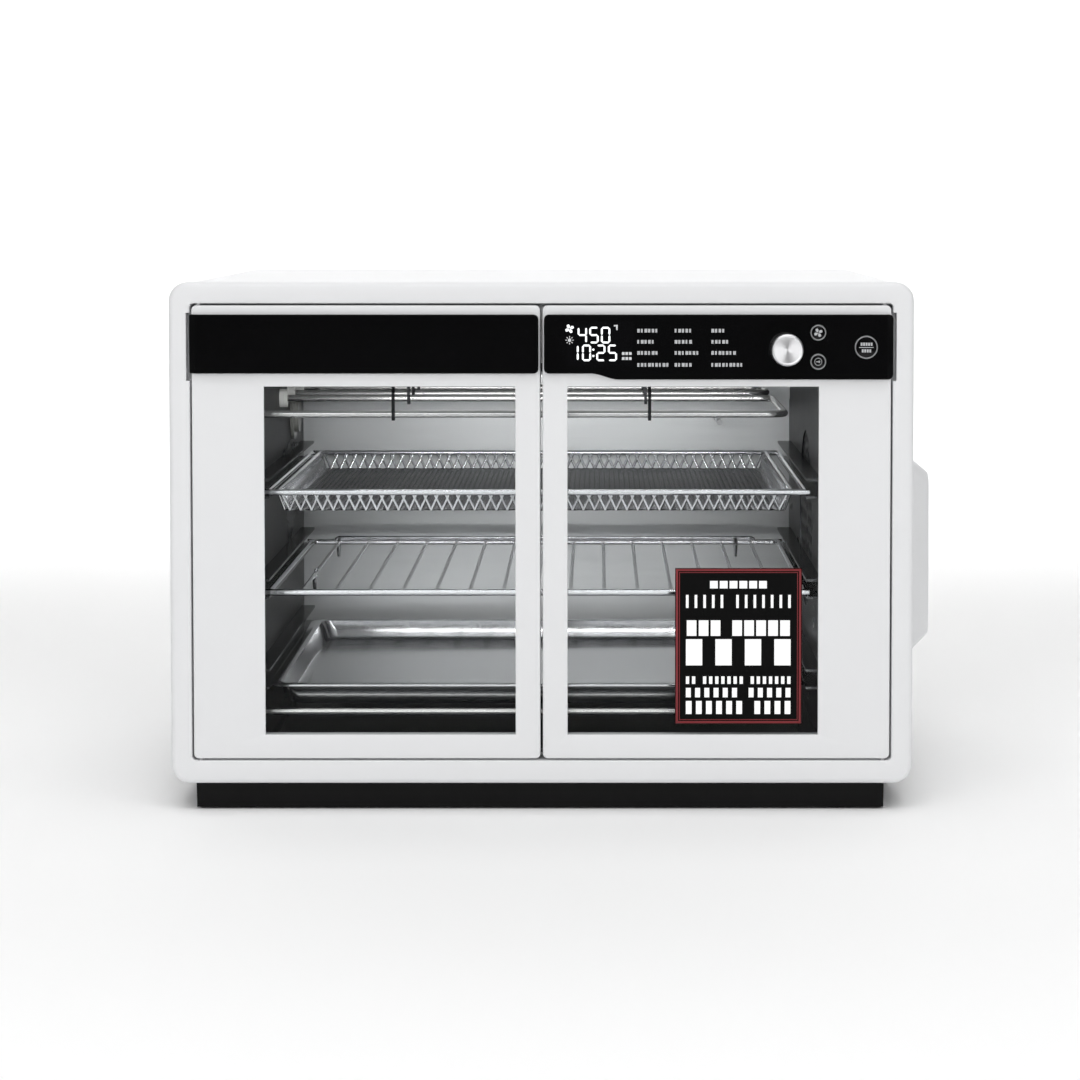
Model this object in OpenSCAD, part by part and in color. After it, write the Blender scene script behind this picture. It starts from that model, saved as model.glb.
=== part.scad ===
// French-door countertop air-fryer toaster oven, as an assembly of separate parts.
// Millimetres. +Z is up, the doors face -Y, and the origin is on the table at the
// centre of the footprint, with the side vent cover and the knob counted in.

/* [Cabinet] */
// Width across the front frame
cab_w = 450; // [446:1:456]
// Height of the front frame, without the feet
cab_h = 304.6; // [304:0.2:309]
// Height of the foot bars under the cabinet
foot_h = 16.4; // [14:0.2:20]
// Radius of the frame's corners, seen from the front
corner_r = 11.5; // [8:0.5:13]
// Radius of the frame's front edge
edge_r = 3.5; // [2:0.5:4.5]
// How far the side vent cover stands out of the cabinet
vent_out = 22; // [16:1:26]

/* [Doors] */
// Thickness of a door
door_t = 20; // [19:0.5:21]
// Gap between a door and the front frame
door_gap = 1.2; // [1:0.1:1.6]
// Gap between the two doors
mid_gap = 1.5; // [1.4:0.1:2.5]
// Width of a door's outer stile, beside the window
stile_outer = 43.5; // [36:0.5:50]
// Width of a door's inner stile, beside the other door
stile_inner = 15; // [12:0.5:20]
// Height of a door's bottom rail
rail_bottom = 14.6; // [14:0.2:20]
// Height of a door's top rail, behind the band
rail_top = 49; // [48:0.2:54]
// How far the band stands out of the door
band_t = 3.5; // [3:0.5:4]
// Radius of the hinge pins
pin_r = 1.5; // [1.3:0.1:1.6]

/* [Controls] */
// Diameter of the knob
knob_d = 19.6; // [16:0.2:22]
// How far the knob stands out of the band
knob_len = 13.5; // [10:0.5:16]
// Diameter of the fan and light buttons
button_d = 10; // [8:0.5:11]
// Diameter of the start button
start_d = 14.4; // [12:0.2:16]

/* [Cavity] */
// Height of the cavity floor above the table
floor_z = 34; // [33:0.5:35]
// Height of the cavity ceiling above the table
ceiling_z = 264; // [262:1:268]
// Depth of the cavity behind its front flange
cavity_d = 335; // [330:1:340]
// Height of the wire rack's wires
rack_z = 128.5; // [120:0.5:135]
// Height of the basket's rim wire
basket_z = 190.5; // [180:0.5:196]
// Height of the baking tray's rim
tray_z = 71.5; // [70:0.5:76]
// Number of cross wires in the rack
rack_wires = 15; // [10:1:20]
// Radius of the heater rods
heater_r = 2.2; // [2:0.1:2.6]

/* [Hidden] */

$fn = 64;
cab_x = -vent_out / 2;
top_z = foot_h + cab_h;
half_w = cab_w / 2;
face_y = -188;
frame_back = face_y + 24;
rear_y = 190;
spacer_y = 205;
sheet = 1;
wrap_t = 1.2;

// Front frame opening and the doors that fill it
open_x = half_w - 12.8;
open_z0 = foot_h + 14.2;
open_z1 = top_z - 12.8;
door_x1 = open_x - door_gap;
door_x0 = mid_gap / 2;
door_z0 = open_z0 + door_gap;
door_z1 = open_z1 - door_gap;
door_back = face_y + door_t;
door_wall = 2;
door_round = 1.2;
liner_t = 1.2;
win_x0 = door_x0 + stile_inner;
win_x1 = door_x1 - stile_outer;
win_z0 = door_z0 + rail_bottom;
win_z1 = door_z1 - rail_top;
glass_t = 4;
glass_lap = 6;
hinge_in = 4;
hinge_back = 3.2;
hinge_x = door_x1 - hinge_in;
hinge_y = face_y + hinge_back;
pin_len = 10;
pin_hold = 8;
run = 0.05;
gap = 0.3;

// Bands across the top of the doors
band_x0 = door_x0 + 0.9;
band_x1 = door_x1 + 1.2;
band_z1 = door_z1 - 5.4;
band_z0 = door_z0 + 234.2;
band_low_z0 = band_z0 - 3.6;
band_y = face_y - band_t;
band_bevel = 5;
band_end_t = 0.6;
notch_x = band_x1 + 2.1;
notch_d = 12;

// Controls on the right band
knob_x = 147.5;
knob_z = 280.7;
fan_button_pos = [166.7, 290.7];
light_button_pos = [166.7, 273.2];
start_button_pos = [195.6, 281.9];
lens_x = [15.5, 55.5];
lens_z = [270.5, 297.5];
unit_y = face_y + 7;
encoder_r = 3;

// Cavity
flange_y = door_back + 1.5;
cav_y0 = flange_y + sheet;
cav_y1 = cav_y0 + cavity_d;
cav_x0 = -178;
cav_x1 = 172;
rail_out = 9.5;
rail_gap = 9;
rail_y0 = cav_y0 + 12;
rail_y1 = cav_y1 - 20;
wire_r = 2;
rack_x = [-172, 165];
rack_y = [face_y + 35, face_y + 321];
deep_y1 = cav_y1 - 20;
fan_y = -8;
fan_z = 160;
fan_hole_r = 58;
shaft_r = 3;
shroud_x = cav_x1 + 2.5;
shroud_back = shroud_x + 21.5;
motor_x = shroud_back + 4.5;
heater_up_z = 238.5;
heater_low_z = 53.6;
heater_start = -192;
heater_end = 150;
heater_legs = [[-146, 8], [60, 124]];
lamp_y = 90;
lamp_z = 222;
hanger_x = [-92, 66];

// ---- Shared shapes -------------------------------------------------------

// Everything is drawn about the cabinet's own middle, then moved beside the vent
module cab() { translate([cab_x, 0, 0]) children(); }

// Box between two corners
module slab(lo, hi) { translate(lo) cube(hi - lo); }

// Outline with round corners
module rrect(x0, z0, x1, z1, r) {
    translate([x0 + r, z0]) square([x1 - x0 - 2 * r, z1 - z0]);
    translate([x0, z0 + r]) square([x1 - x0, z1 - z0 - 2 * r]);
    for (x = [x0 + r, x1 - r], z = [z0 + r, z1 - r]) translate([x, z]) circle(r);
}

// X-Z outline pulled out from y0 to y1
module along_y(y0, y1) { translate([0, y1, 0]) rotate([90, 0, 0]) linear_extrude(y1 - y0) children(); }

// Y-Z outline pulled out from x0 to x1
module along_x(x0, x1) { translate([x0, 0, 0]) rotate([90, 0, 90]) linear_extrude(x1 - x0) children(); }

// Round bars along each axis
module bar_x(x0, x1, y, z, r) { translate([x0, y, z]) rotate([0, 90, 0]) cylinder(h = x1 - x0, r = r); }
module bar_y(x, y0, y1, z, r) { translate([x, y1, z]) rotate([90, 0, 0]) cylinder(h = y1 - y0, r = r); }
module bar_z(x, y, z0, z1, r) { translate([x, y, z0]) cylinder(h = z1 - z0, r = r); }

// Round bar between any two points
module rod(a, b, r) {
    d = b - a;
    len = norm(d);
    translate(a) rotate([0, acos(d[2] / len), atan2(d[1], d[0])]) cylinder(h = len, r = r);
}

// Quarter bend of a round bar in a level plane, turned by turn
module bend(centre, bend_r, turn, r) {
    translate(centre) rotate([0, 0, turn]) rotate_extrude(angle = 90) translate([bend_r, 0]) circle(r);
}

// Part of the left door when side is -1, and of the right door when it is 1
module door_side(side) { cab() if (side < 0) mirror([1, 0, 0]) children(); else children(); }

// ---- Cabinet -------------------------------------------------------------

// Frame round the doors, with relief pockets where the bands' ends swing in
module front_frame() {
    cab() color("white") difference() {
        intersection() {
            along_y(face_y, frame_back) rrect(-half_w, foot_h, half_w, top_z, corner_r);
            along_x(-half_w, half_w) rrect(face_y, foot_h, frame_back + 30, top_z, edge_r);
            translate([0, 0, foot_h]) linear_extrude(cab_h)
                rrect(-half_w, face_y, half_w, frame_back + 30, edge_r);
        }
        slab([-open_x, face_y - 1, open_z0], [open_x, frame_back + 1, open_z1]);
        for (s = [-1, 1]) {
            slab([min(s * (open_x - 1), s * notch_x), face_y - 1, band_low_z0 - 1],
                 [max(s * (open_x - 1), s * notch_x), face_y + notch_d, band_z1 + 1]);
            slab([min(s * (half_w - 2.5), s * (half_w - 7)), face_y + 4, open_z0 + 10],
                 [max(s * (half_w - 2.5), s * (half_w - 7)), frame_back + 1, open_z1 - 10]);
            bar_z(s * hinge_x, hinge_y, open_z1 - 1, open_z1 + pin_hold, pin_r);
            bar_z(s * hinge_x, hinge_y, open_z0 - pin_hold, open_z0 + 1, pin_r);
            slab([s * 20 - 10, face_y + 8, open_z1 - 1], [s * 20 + 10, face_y + 16, open_z1 + 6]);
        }
    }
}

// Bent steel sheet over the top and both sides, with slots and the fan's opening
module outer_wrap() {
    x = half_w - 0.8;
    z1 = top_z - 0.8;
    r = corner_r - 0.8;
    cab() color("white") difference() {
        along_y(frame_back, rear_y - 2) difference() {
            rrect(-x, foot_h + 1.6 - 2 * r, x, z1, r);
            rrect(-x + wrap_t, foot_h - 3 * r, x - wrap_t, z1 - wrap_t, r - wrap_t);
            translate([-x - 1, foot_h + 1.6 - 40]) square([2 * x + 2, 40]);
        }
        slab([x - 5, -60, 96], [x + 5, 56, 190]);
        for (s = [-1, 1], i = [0:9]) translate([s * x, 96 + i * 8, 262]) cube([10, 3, 34], center = true);
    }
}

// Raised cover over the fan motor on the right side, with louvre slots
module side_vent_cover() {
    x0 = half_w - 0.8;
    x1 = half_w + vent_out;
    slope = 19;
    wall = 2;
    module form(in) {
        intersection() {
            along_y(-88 + in, 88 - in) polygon([[x0, 72 + in], [x1 - in, 72 + slope + in],
                [x1 - in, 213.5 - slope - in], [x0, 213.5 - in]]);
            translate([0, 0, 70]) linear_extrude(150) polygon([[x0, -88 + in], [x1 - in, -88 + slope + in],
                [x1 - in, 88 - slope - in], [x0, 88 - in]]);
        }
    }
    cab() color("white") difference() {
        form(0);
        difference() {
            form(wall);
            slab([x0 - 1, -100, 60], [x0 - 0.5, 100, 230]);
        }
        for (i = [0:9]) translate([x1, 0, 102 + i * 9]) cube([8, 96, 3], center = true);
    }
}

// Rear sheet with vent slots and the hole for the cord gland
module rear_panel() {
    cab() color("gainsboro") difference() {
        along_y(rear_y - 2, rear_y)
            rrect(-half_w + 0.8, foot_h + 1.6, half_w - 0.8, top_z - 0.8, corner_r - 0.8);
        for (i = [0:14]) slab([-120 + i * 16, rear_y - 5, 200], [-115 + i * 16, rear_y + 1, 250]);
        for (i = [0:5]) slab([130 + i * 12, rear_y - 5, 60], [134 + i * 12, rear_y + 1, 110]);
        bar_y(-170, rear_y - 5, rear_y + 1, 50, 8);
    }
}

// Two blocks that hold the hot rear panel off a wall
module rear_spacers() {
    cab() color("dimgray") for (s = [-1, 1]) difference() {
        along_y(rear_y, spacer_y) rrect(s * 150 - 16, 268, s * 150 + 16, 286, 4);
        along_y(rear_y + 3, spacer_y + 1) rrect(s * 150 - 12, 272, s * 150 + 12, 282, 2);
    }
}

// Sheet under the cabinet
module base_pan() {
    cab() color("gainsboro") difference() {
        slab([-half_w + 2, frame_back, foot_h], [half_w - 2, rear_y - 2, foot_h + 1.6]);
        for (i = [0:11], s = [-1, 1]) slab([s * 110 - 60 + i * 10, -40, foot_h - 1],
                                           [s * 110 - 56 + i * 10, 40, foot_h + 3]);
    }
}

// Bar across the cabinet, narrower at the bottom, with pockets for its rubber pads
module foot_bar(y0, y1) {
    lean = 2;
    difference() {
        along_x(-210, 208) polygon([[y0 + lean, 1.2], [y1 - lean, 1.2], [y1, foot_h], [y0, foot_h]]);
        for (s = [-1, 1]) bar_z(s * 180, (y0 + y1) / 2, 0, 4, 9);
    }
}

module front_foot_bar() { cab() color("black") foot_bar(-184, -154); }

module rear_foot_bar() { cab() color("black") foot_bar(150, 180); }

module foot_pads() {
    cab() color("dimgray") for (s = [-1, 1], y = [-169, 165]) bar_z(s * 180, y, 0, 4, 9);
}

// Pan-head screws round the rear panel
module cabinet_screws() {
    places = [for (s = [-1, 1], z = [36, 168, 302]) [s * 212, z]];
    cab() color("silver") for (p = places) difference() {
        union() {
            bar_y(p[0], rear_y, rear_y + 1.8, p[1], 3.4);
            bar_y(p[0], rear_y - 6, rear_y, p[1], 1.6);
        }
        slab([p[0] - 2, rear_y + 0.9, p[1] - 0.4], [p[0] + 2, rear_y + 3, p[1] + 0.4]);
        slab([p[0] - 0.4, rear_y + 0.9, p[1] - 2], [p[0] + 0.4, rear_y + 3, p[1] + 2]);
    }
}

// Gland that the mains lead passes through
module cord_gland() {
    cab() color("black") difference() {
        union() {
            bar_y(-170, rear_y - 6, rear_y, 50, 8);
            bar_y(-170, rear_y, rear_y + 3, 50, 11);
            bar_y(-170, rear_y + 3, rear_y + 12, 50, 7.5);
        }
        bar_y(-170, rear_y - 7, rear_y + 13, 50, 4);
    }
}

// ---- Cavity --------------------------------------------------------------

// Sheet that joins the front frame to the cavity walls
module cavity_flange() {
    cab() color("silver") difference() {
        slab([-open_x + 0.2, flange_y, open_z0 + 0.2], [open_x - 0.2, cav_y0, open_z1 - 0.2]);
        slab([cav_x0, flange_y - 1, floor_z], [cav_x1, cav_y0 + 1, ceiling_z]);
    }
}

// Ceiling with a turned-down rear strip behind the upper heater
module cavity_ceiling() {
    cab() color("silver") {
        slab([cav_x0, cav_y0, ceiling_z], [cav_x1, cav_y1, ceiling_z + sheet]);
        slab([cav_x0, cav_y1 - 7, 228], [cav_x1, cav_y1 - 6, ceiling_z]);
    }
}

module cavity_floor() {
    cab() color("silver") slab([cav_x0, cav_y0, floor_z - sheet], [cav_x1, cav_y1, floor_z]);
}

module cavity_back() {
    cab() color("silver") difference() {
        slab([cav_x0, cav_y1, floor_z - sheet], [cav_x1, cav_y1 + sheet, ceiling_z + sheet]);
        bar_y(120, cav_y1 - 2, cav_y1 + 3, 214, 2.5);
    }
}

module cavity_left_wall() {
    cab() color("silver") difference() {
        slab([cav_x0 - sheet, cav_y0, floor_z - sheet], [cav_x0, cav_y1 + sheet, ceiling_z + sheet]);
        bar_x(cav_x0 - 3, cav_x0 + 2, lamp_y, lamp_z, 14);
        for (leg = heater_legs, y = leg, z = [heater_up_z, heater_low_z])
            bar_x(cav_x0 - 3, cav_x0 + 2, y, z, 4.2);
    }
}

module cavity_right_wall() {
    cab() color("silver") difference() {
        slab([cav_x1, cav_y0, floor_z - sheet], [cav_x1 + sheet, cav_y1 + sheet, ceiling_z + sheet]);
        bar_x(cav_x1 - 2, cav_x1 + 3, fan_y, fan_z, fan_hole_r);
    }
}

// Three channels, each open to the cavity, that carry the tray, the rack and the basket
module rack_rails(x0, x1, web_x) {
    for (z = [tray_z - 1, rack_z - wire_r, basket_z - wire_r]) {
        slab([x0, rail_y0, z - gap - 1.5], [x1, rail_y1, z - gap]);
        slab([x0, rail_y0, z + rail_gap], [x1, rail_y1, z + rail_gap + 1.5]);
        slab([web_x, rail_y0, z - gap], [web_x + sheet, rail_y1, z + rail_gap]);
    }
}

module left_rack_rails() { cab() color("silver") rack_rails(cav_x0, cav_x0 + rail_out, cav_x0); }

module right_rack_rails() { cab() color("silver") rack_rails(cav_x1 - rail_out, cav_x1, cav_x1 - sheet); }

// ---- Fan and motor on the right wall -------------------------------------

// Perforated disc between the cavity and the fan
module fan_guard() {
    rings = [[10, 6], [21, 12], [32, 18], [43, 24], [53, 30]];
    cab() color("darkgray") difference() {
        bar_x(cav_x1 + sheet, shroud_x, fan_y, fan_z, 64);
        for (ring = rings, i = [0:ring[1] - 1])
            translate([0, fan_y, fan_z]) rotate([i * 360 / ring[1], 0, 0]) bar_x(cav_x1, shroud_x + 1, ring[0], 0, 3.6);
    }
}

// Cup that the fan turns in
module fan_shroud() {
    cab() color("silver") difference() {
        bar_x(shroud_x, shroud_back, fan_y, fan_z, 64);
        bar_x(shroud_x - 1, shroud_back - sheet, fan_y, fan_z, 63);
        bar_x(shroud_x, shroud_back + 1, fan_y, fan_z, 6);
    }
}

// Fan wheel: a back disc, a hub and straight blades
module convection_fan() {
    x0 = shroud_x + 3;
    cab() color("gray") translate([0, fan_y, fan_z]) difference() {
        union() {
            bar_x(x0, x0 + 14, 0, 0, 9);
            bar_x(x0 + 11, x0 + 12.5, 0, 0, 50);
            for (a = [0:30:330]) rotate([a, 0, 0]) slab([x0, -0.6, 14], [x0 + 11, 0.6, 49]);
        }
        bar_x(x0 - 1, x0 + 15, 0, 0, shaft_r);
    }
}

module fan_shaft() { cab() color("silver") bar_x(shroud_x + 2, half_w + 14, fan_y, fan_z, shaft_r); }

// Motor with the plain bearing bore that the shaft turns in
module fan_motor() {
    cab() color("dimgray") difference() {
        union() {
            bar_x(motor_x, motor_x + 22, fan_y, fan_z, 24);
            bar_x(motor_x + 22, motor_x + 26, fan_y, fan_z, 9);
            slab([motor_x + 4, fan_y - 30, fan_z - 18], [motor_x + 18, fan_y + 30, fan_z + 18]);
        }
        bar_x(motor_x - 1, motor_x + 27, fan_y, fan_z, shaft_r + run);
    }
}

// Strap that holds the motor off the hot shroud
module motor_bracket() {
    cab() color("silver") difference() {
        union() {
            slab([motor_x - 1.5, fan_y - 52, fan_z - 15], [motor_x, fan_y + 52, fan_z + 15]);
            for (s = [-1, 1]) slab([shroud_back, fan_y + s * 50 - 2, fan_z - 15],
                                   [motor_x - 1.5, fan_y + s * 50 + 2, fan_z + 15]);
        }
        bar_x(motor_x - 3, motor_x + 1, fan_y, fan_z, 8);
    }
}

// Small fan on the outer end of the shaft, which cools the motor
module cooling_fan() {
    x0 = half_w + 5;
    cab() color("gray") translate([0, fan_y, fan_z]) difference() {
        union() {
            bar_x(x0, x0 + 8, 0, 0, 7);
            for (a = [0:60:300]) rotate([a, 0, 0])
                translate([x0 + 4, 0, 17]) rotate([0, 0, 30]) cube([1, 9, 26], center = true);
        }
        bar_x(x0 - 1, x0 + 9, 0, 0, shaft_r);
    }
}

// ---- Heaters -------------------------------------------------------------

// Two U-shaped rods at one level, with their ends through the left wall
module heater(z) {
    r = 12;
    for (leg = heater_legs) {
        for (y = leg) bar_x(heater_start, heater_end - r, y, z, heater_r);
        bar_y(heater_end, leg[0] + r, leg[1] - r, z, heater_r);
        bend([heater_end - r, leg[1] - r, z], r, 0, heater_r);
        bend([heater_end - r, leg[0] + r, z], r, -90, heater_r);
    }
}

module upper_heater() { cab() color("silver") heater(heater_up_z); }

module lower_heater() { cab() color("silver") heater(heater_low_z); }

// White ceramic bushes that carry the rods through the wall
module heater_insulators() {
    cab() color("white") for (leg = heater_legs, y = leg, z = [heater_up_z, heater_low_z]) difference() {
        union() {
            bar_x(cav_x0 - sheet - 8, cav_x0, y, z, 4.2);
            bar_x(cav_x0, cav_x0 + 5, y, z, 6);
        }
        bar_x(cav_x0 - 12, cav_x0 + 7, y, z, heater_r);
    }
}

// Wire hooks that hold the rods' middles: down from the ceiling, up from the floor
module heater_hangers() {
    cab() color("dimgray") for (x = hanger_x, leg = heater_legs, y = leg) {
        slab([x - 1, y - heater_r - 1.6, heater_up_z - heater_r - 1.6],
             [x + 1, y - heater_r, ceiling_z]);
        slab([x - 1, y - heater_r, heater_up_z - heater_r - 1.6], [x + 1, y + heater_r, heater_up_z - heater_r]);
    }
}

// ---- Lamp, probe, cut-out, insulation and power board ---------------------

module lamp_lens() {
    cab() color("lightyellow") difference() {
        union() {
            bar_x(cav_x0, cav_x0 + 2, lamp_y, lamp_z, 17);
            bar_x(cav_x0 + 2, cav_x0 + 5, lamp_y, lamp_z, 12);
        }
        bar_x(cav_x0 - 1, cav_x0 + 3, lamp_y, lamp_z, 10);
    }
}

module lamp_bulb() {
    cab() color("white") {
        bar_x(cav_x0 - 18, cav_x0 - 9, lamp_y, lamp_z, 4);
        translate([cav_x0 - 7, lamp_y, lamp_z]) sphere(5.5);
    }
}

module lamp_socket() {
    cab() color("white") difference() {
        union() {
            bar_x(cav_x0 - 26, cav_x0 - 11, lamp_y, lamp_z, 10);
            bar_x(cav_x0 - 12, cav_x0 - sheet, lamp_y, lamp_z, 19);
        }
        bar_x(cav_x0 - 18, cav_x0 - 10, lamp_y, lamp_z, 4);
        bar_x(cav_x0 - 11, cav_x0, lamp_y, lamp_z, 16);
    }
}

module temperature_probe() {
    cab() color("silver") {
        bar_y(120, cav_y1 - 46, cav_y1 + 12, 214, 2);
        bar_y(120, cav_y1 + sheet, cav_y1 + 4, 214, 6);
    }
}

module thermal_cutout() {
    cab() color("black") {
        bar_y(-60, cav_y1 + sheet, cav_y1 + 8, 214, 8);
        slab([-73, cav_y1 + sheet, 210], [-47, cav_y1 + 2.2, 218]);
    }
}

module insulation_blanket() {
    cab() color("ivory") slab([cav_x0 + 4, cav_y0 + 8, ceiling_z + sheet], [cav_x1 - 4, cav_y1 - 4, ceiling_z + 13]);
}

// Board with a relay, two capacitors and a transformer, on four posts from the rear foot
module power_board() {
    x = 206;
    cab() color("green") {
        slab([x, 90, 50], [x + 1.6, 170, 190]);
        slab([x - 18, 100, 60], [x, 124, 84]);
        slab([x - 22, 132, 60], [x, 160, 92]);
        for (z = [110, 132]) bar_x(x - 16, x, 112, z, 8);
        for (y = [96, 164], z = [56, 184]) bar_x(x + 1.6, half_w - 0.8 - wrap_t, y, z, 3);
    }
}

// ---- Door seal, pins and catches -----------------------------------------

module door_seal() {
    cab() color("darkgray") difference() {
        slab([cav_x0 - 7, flange_y - 1, floor_z - 1.8], [cav_x1 + 7, flange_y, ceiling_z + 7]);
        slab([cav_x0 - 2, flange_y - 2, floor_z], [cav_x1 + 2, flange_y + 1, ceiling_z + 2]);
    }
}

module hinge_pins() {
    cab() color("silver") for (s = [-1, 1]) {
        bar_z(s * hinge_x, hinge_y, door_z1 - pin_len, open_z1 + pin_hold, pin_r);
        bar_z(s * hinge_x, hinge_y, open_z0 - pin_hold, door_z0 + pin_len, pin_r);
    }
}

module catch_magnets() {
    cab() color("dimgray") for (s = [-1, 1])
        slab([s * 20 - 10, face_y + 8, open_z1], [s * 20 + 10, face_y + 16, open_z1 + 6]);
}

// ---- Doors, drawn for the right side --------------------------------------

// Tray-shaped outer door: front plate, four turned-in walls and two hinge corners
module door_shell() {
    back = door_back - liner_t;
    difference() {
        intersection() {
            along_y(face_y, back) rrect(door_x0, door_z0, door_x1, door_z1, 3);
            translate([0, 0, door_z0]) linear_extrude(door_z1 - door_z0)
                rrect(door_x0, face_y, door_x1, back + 20, door_round);
        }
        difference() {
            slab([door_x0 + door_wall, face_y + door_wall, door_z0 + door_wall],
                 [door_x1 - door_wall, back + 1, door_z1 - door_wall]);
            for (z = [door_z0 - 1, door_z1 - pin_len - 1])
                slab([door_x1 - 11, face_y, z], [door_x1, face_y + 12, z + pin_len + 2]);
        }
        slab([win_x0, face_y - 1, win_z0], [win_x1, face_y + 5, win_z1]);
        for (z = [door_z0 - 1, door_z1 - pin_len - 0.5])
            bar_z(hinge_x, hinge_y, z, z + pin_len + 1.5, pin_r + run);
    }
}

module door_glass() {
    slab([win_x0 - glass_lap, face_y + door_wall, win_z0 - glass_lap],
         [win_x1 + glass_lap, face_y + door_wall + glass_t, win_z1 + glass_lap]);
}

// Inner sheet with a tunnel that presses the glass against the front plate
module door_liner() {
    tunnel = 2;
    difference() {
        union() {
            slab([door_x0 + 1.2, door_back - liner_t, door_z0 + 1.2], [door_x1 - 1.2, door_back, door_z1 - 1.2]);
            slab([win_x0 - tunnel - liner_t, face_y + door_wall + glass_t, win_z0 - tunnel - liner_t],
                 [win_x1 + tunnel + liner_t, door_back, win_z1 + tunnel + liner_t]);
        }
        slab([win_x0 - tunnel, face_y, win_z0 - tunnel], [win_x1 + tunnel, door_back + 1, win_z1 + tunnel]);
    }
}

// Small steel plate under the door's top wall, which the magnet pulls
module door_strike() {
    slab([10, face_y + 8, door_z1 - door_wall - 1], [30, face_y + 16, door_z1 - door_wall]);
}

// Wedge that bevels the outer end of a band
module band_bevel_cut() {
    translate([0, 0, band_low_z0 - 1]) linear_extrude(60) polygon([
        [band_x1 - band_bevel, band_y - 1], [band_x1 - band_bevel, band_y],
        [band_x1, face_y - band_end_t], [band_x1 + 2, face_y - band_end_t], [band_x1 + 2, band_y - 1]]);
}

module left_door_frame() { color("white") door_side(-1) door_shell(); }

module left_glass() { color("lightblue") door_side(-1) door_glass(); }

module left_door_liner() { color("white") door_side(-1) door_liner(); }

module left_strike() { color("silver") door_side(-1) door_strike(); }

module left_band() {
    color("black") door_side(-1) difference() {
        along_y(band_y, face_y) rrect(band_x0, band_z0, band_x1, band_z1, 2);
        band_bevel_cut();
    }
}

// Opening behind the right band for the control unit
module right_door_frame() {
    color("white") door_side(1) difference() {
        door_shell();
        slab([12, face_y - 1, 266.6], [204.4, face_y + 3, 297.6]);
    }
}

module right_glass() { color("lightblue") door_side(1) door_glass(); }

module right_door_liner() { color("white") door_side(1) door_liner(); }

module right_strike() { color("silver") door_side(1) door_strike(); }

// Band with a deeper lower edge beyond its first part, and holes for the controls
module right_band() {
    color("black") door_side(1) difference() {
        along_y(band_y, face_y) {
            rrect(band_x0, band_z0, band_x1, band_z1, 2);
            polygon([[30, band_z0 + 4], [30, band_z0], [42.7, band_low_z0],
                     [band_x1, band_low_z0], [band_x1, band_z0 + 4]]);
        }
        band_bevel_cut();
        slab([lens_x[0], band_y - 1, lens_z[0]], [lens_x[1], face_y + 1, lens_z[1]]);
        bar_y(knob_x, band_y - 1, face_y + 1, knob_z, 4.5);
        for (p = [fan_button_pos, light_button_pos])
            bar_y(p[0], band_y - 1, face_y + 1, p[1], button_d / 2 + gap);
        bar_y(start_button_pos[0], band_y - 1, face_y + 1, start_button_pos[1], start_d / 2 + gap);
    }
}

// ---- Controls ------------------------------------------------------------

module display_lens() {
    color("black") door_side(1) slab([lens_x[0], band_y, lens_z[0]], [lens_x[1], band_y + 1.2, lens_z[1]]);
}

// Circuit board with the display block, the encoder with its shaft, and three switches
module control_unit() {
    color("darkgreen") door_side(1) {
        slab([10, unit_y, 267], [204, unit_y + 1.6, 297]);
        slab([lens_x[0] + 1, band_y + 1.4, lens_z[0] + 1], [lens_x[1] - 1, unit_y, lens_z[1] - 1]);
        slab([knob_x - 6, unit_y - 3.5, knob_z - 6], [knob_x + 6, unit_y, knob_z + 6]);
        bar_y(knob_x, band_y - knob_len + 4, unit_y, knob_z, encoder_r);
        for (p = [fan_button_pos, light_button_pos, start_button_pos])
            slab([p[0] - 3, unit_y - 1.2, p[1] - 3], [p[0] + 3, unit_y, p[1] + 3]);
        slab([90, unit_y + 1.6, 274], [118, unit_y + 5, 290]);
    }
}

// Turned knob with a bevelled rim and a blind bore for the encoder shaft
module knob() {
    r = knob_d / 2;
    color("silver") door_side(1) translate([knob_x, band_y - 0.5, knob_z]) rotate([90, 0, 0]) difference() {
        rotate_extrude() polygon([[0, 0], [r, 0], [r, knob_len - 2], [r - 1, knob_len - 0.5], [0, knob_len - 0.5]]);
        translate([0, 0, -1]) cylinder(h = knob_len - 2.5, r = encoder_r + run);
    }
}

// Button cap with a collar behind the band
module button(p, d) {
    color("black") door_side(1) {
        bar_y(p[0], band_y - 0.4, face_y + 4.6, p[1], d / 2);
        bar_y(p[0], face_y + gap, face_y + 1.5, p[1], d / 2 + 1.2);
    }
}

module fan_button() { button(fan_button_pos, button_d); }

module light_button() { button(light_button_pos, button_d); }

module start_button() { button(start_button_pos, start_d); }

// ---- Racks and trays -----------------------------------------------------

// Rack of round wires with a raised back bar and two V-shaped stops
module wire_rack() {
    x0 = rack_x[0];
    x1 = rack_x[1];
    y0 = rack_y[0] + wire_r;
    y1 = rack_y[1] - wire_r;
    side = 2.6;
    pitch = (x1 - x0 - 2 * side) / (rack_wires + 1);
    rise = 6;
    post = 18;
    stop_r = 1.2;
    cab() color("silver") {
        for (y = [y0, y1]) bar_x(x0, x1, y, rack_z, wire_r);
        for (x = [x0 + side, x1 - side]) bar_y(x, y0, y1, rack_z, wire_r - 0.2);
        for (i = [1:rack_wires]) bar_y(x0 + side + i * pitch, y0, y1, rack_z, 1.3);
        bar_x(x0 + post - 3, x1 - post + 3, y1, rack_z + rise, 1.7);
        for (x = [x0 + post, x1 - post]) bar_z(x, y1, rack_z, rack_z + rise, 1.4);
        for (x = [-138, 124]) {
            for (s = [-4, 4]) rod([x + s, y1, rack_z + rise], [x, y1, rack_z - 9], stop_r);
            translate([x, y1, rack_z - 9]) sphere(stop_r + 0.3);
        }
    }
}

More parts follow.
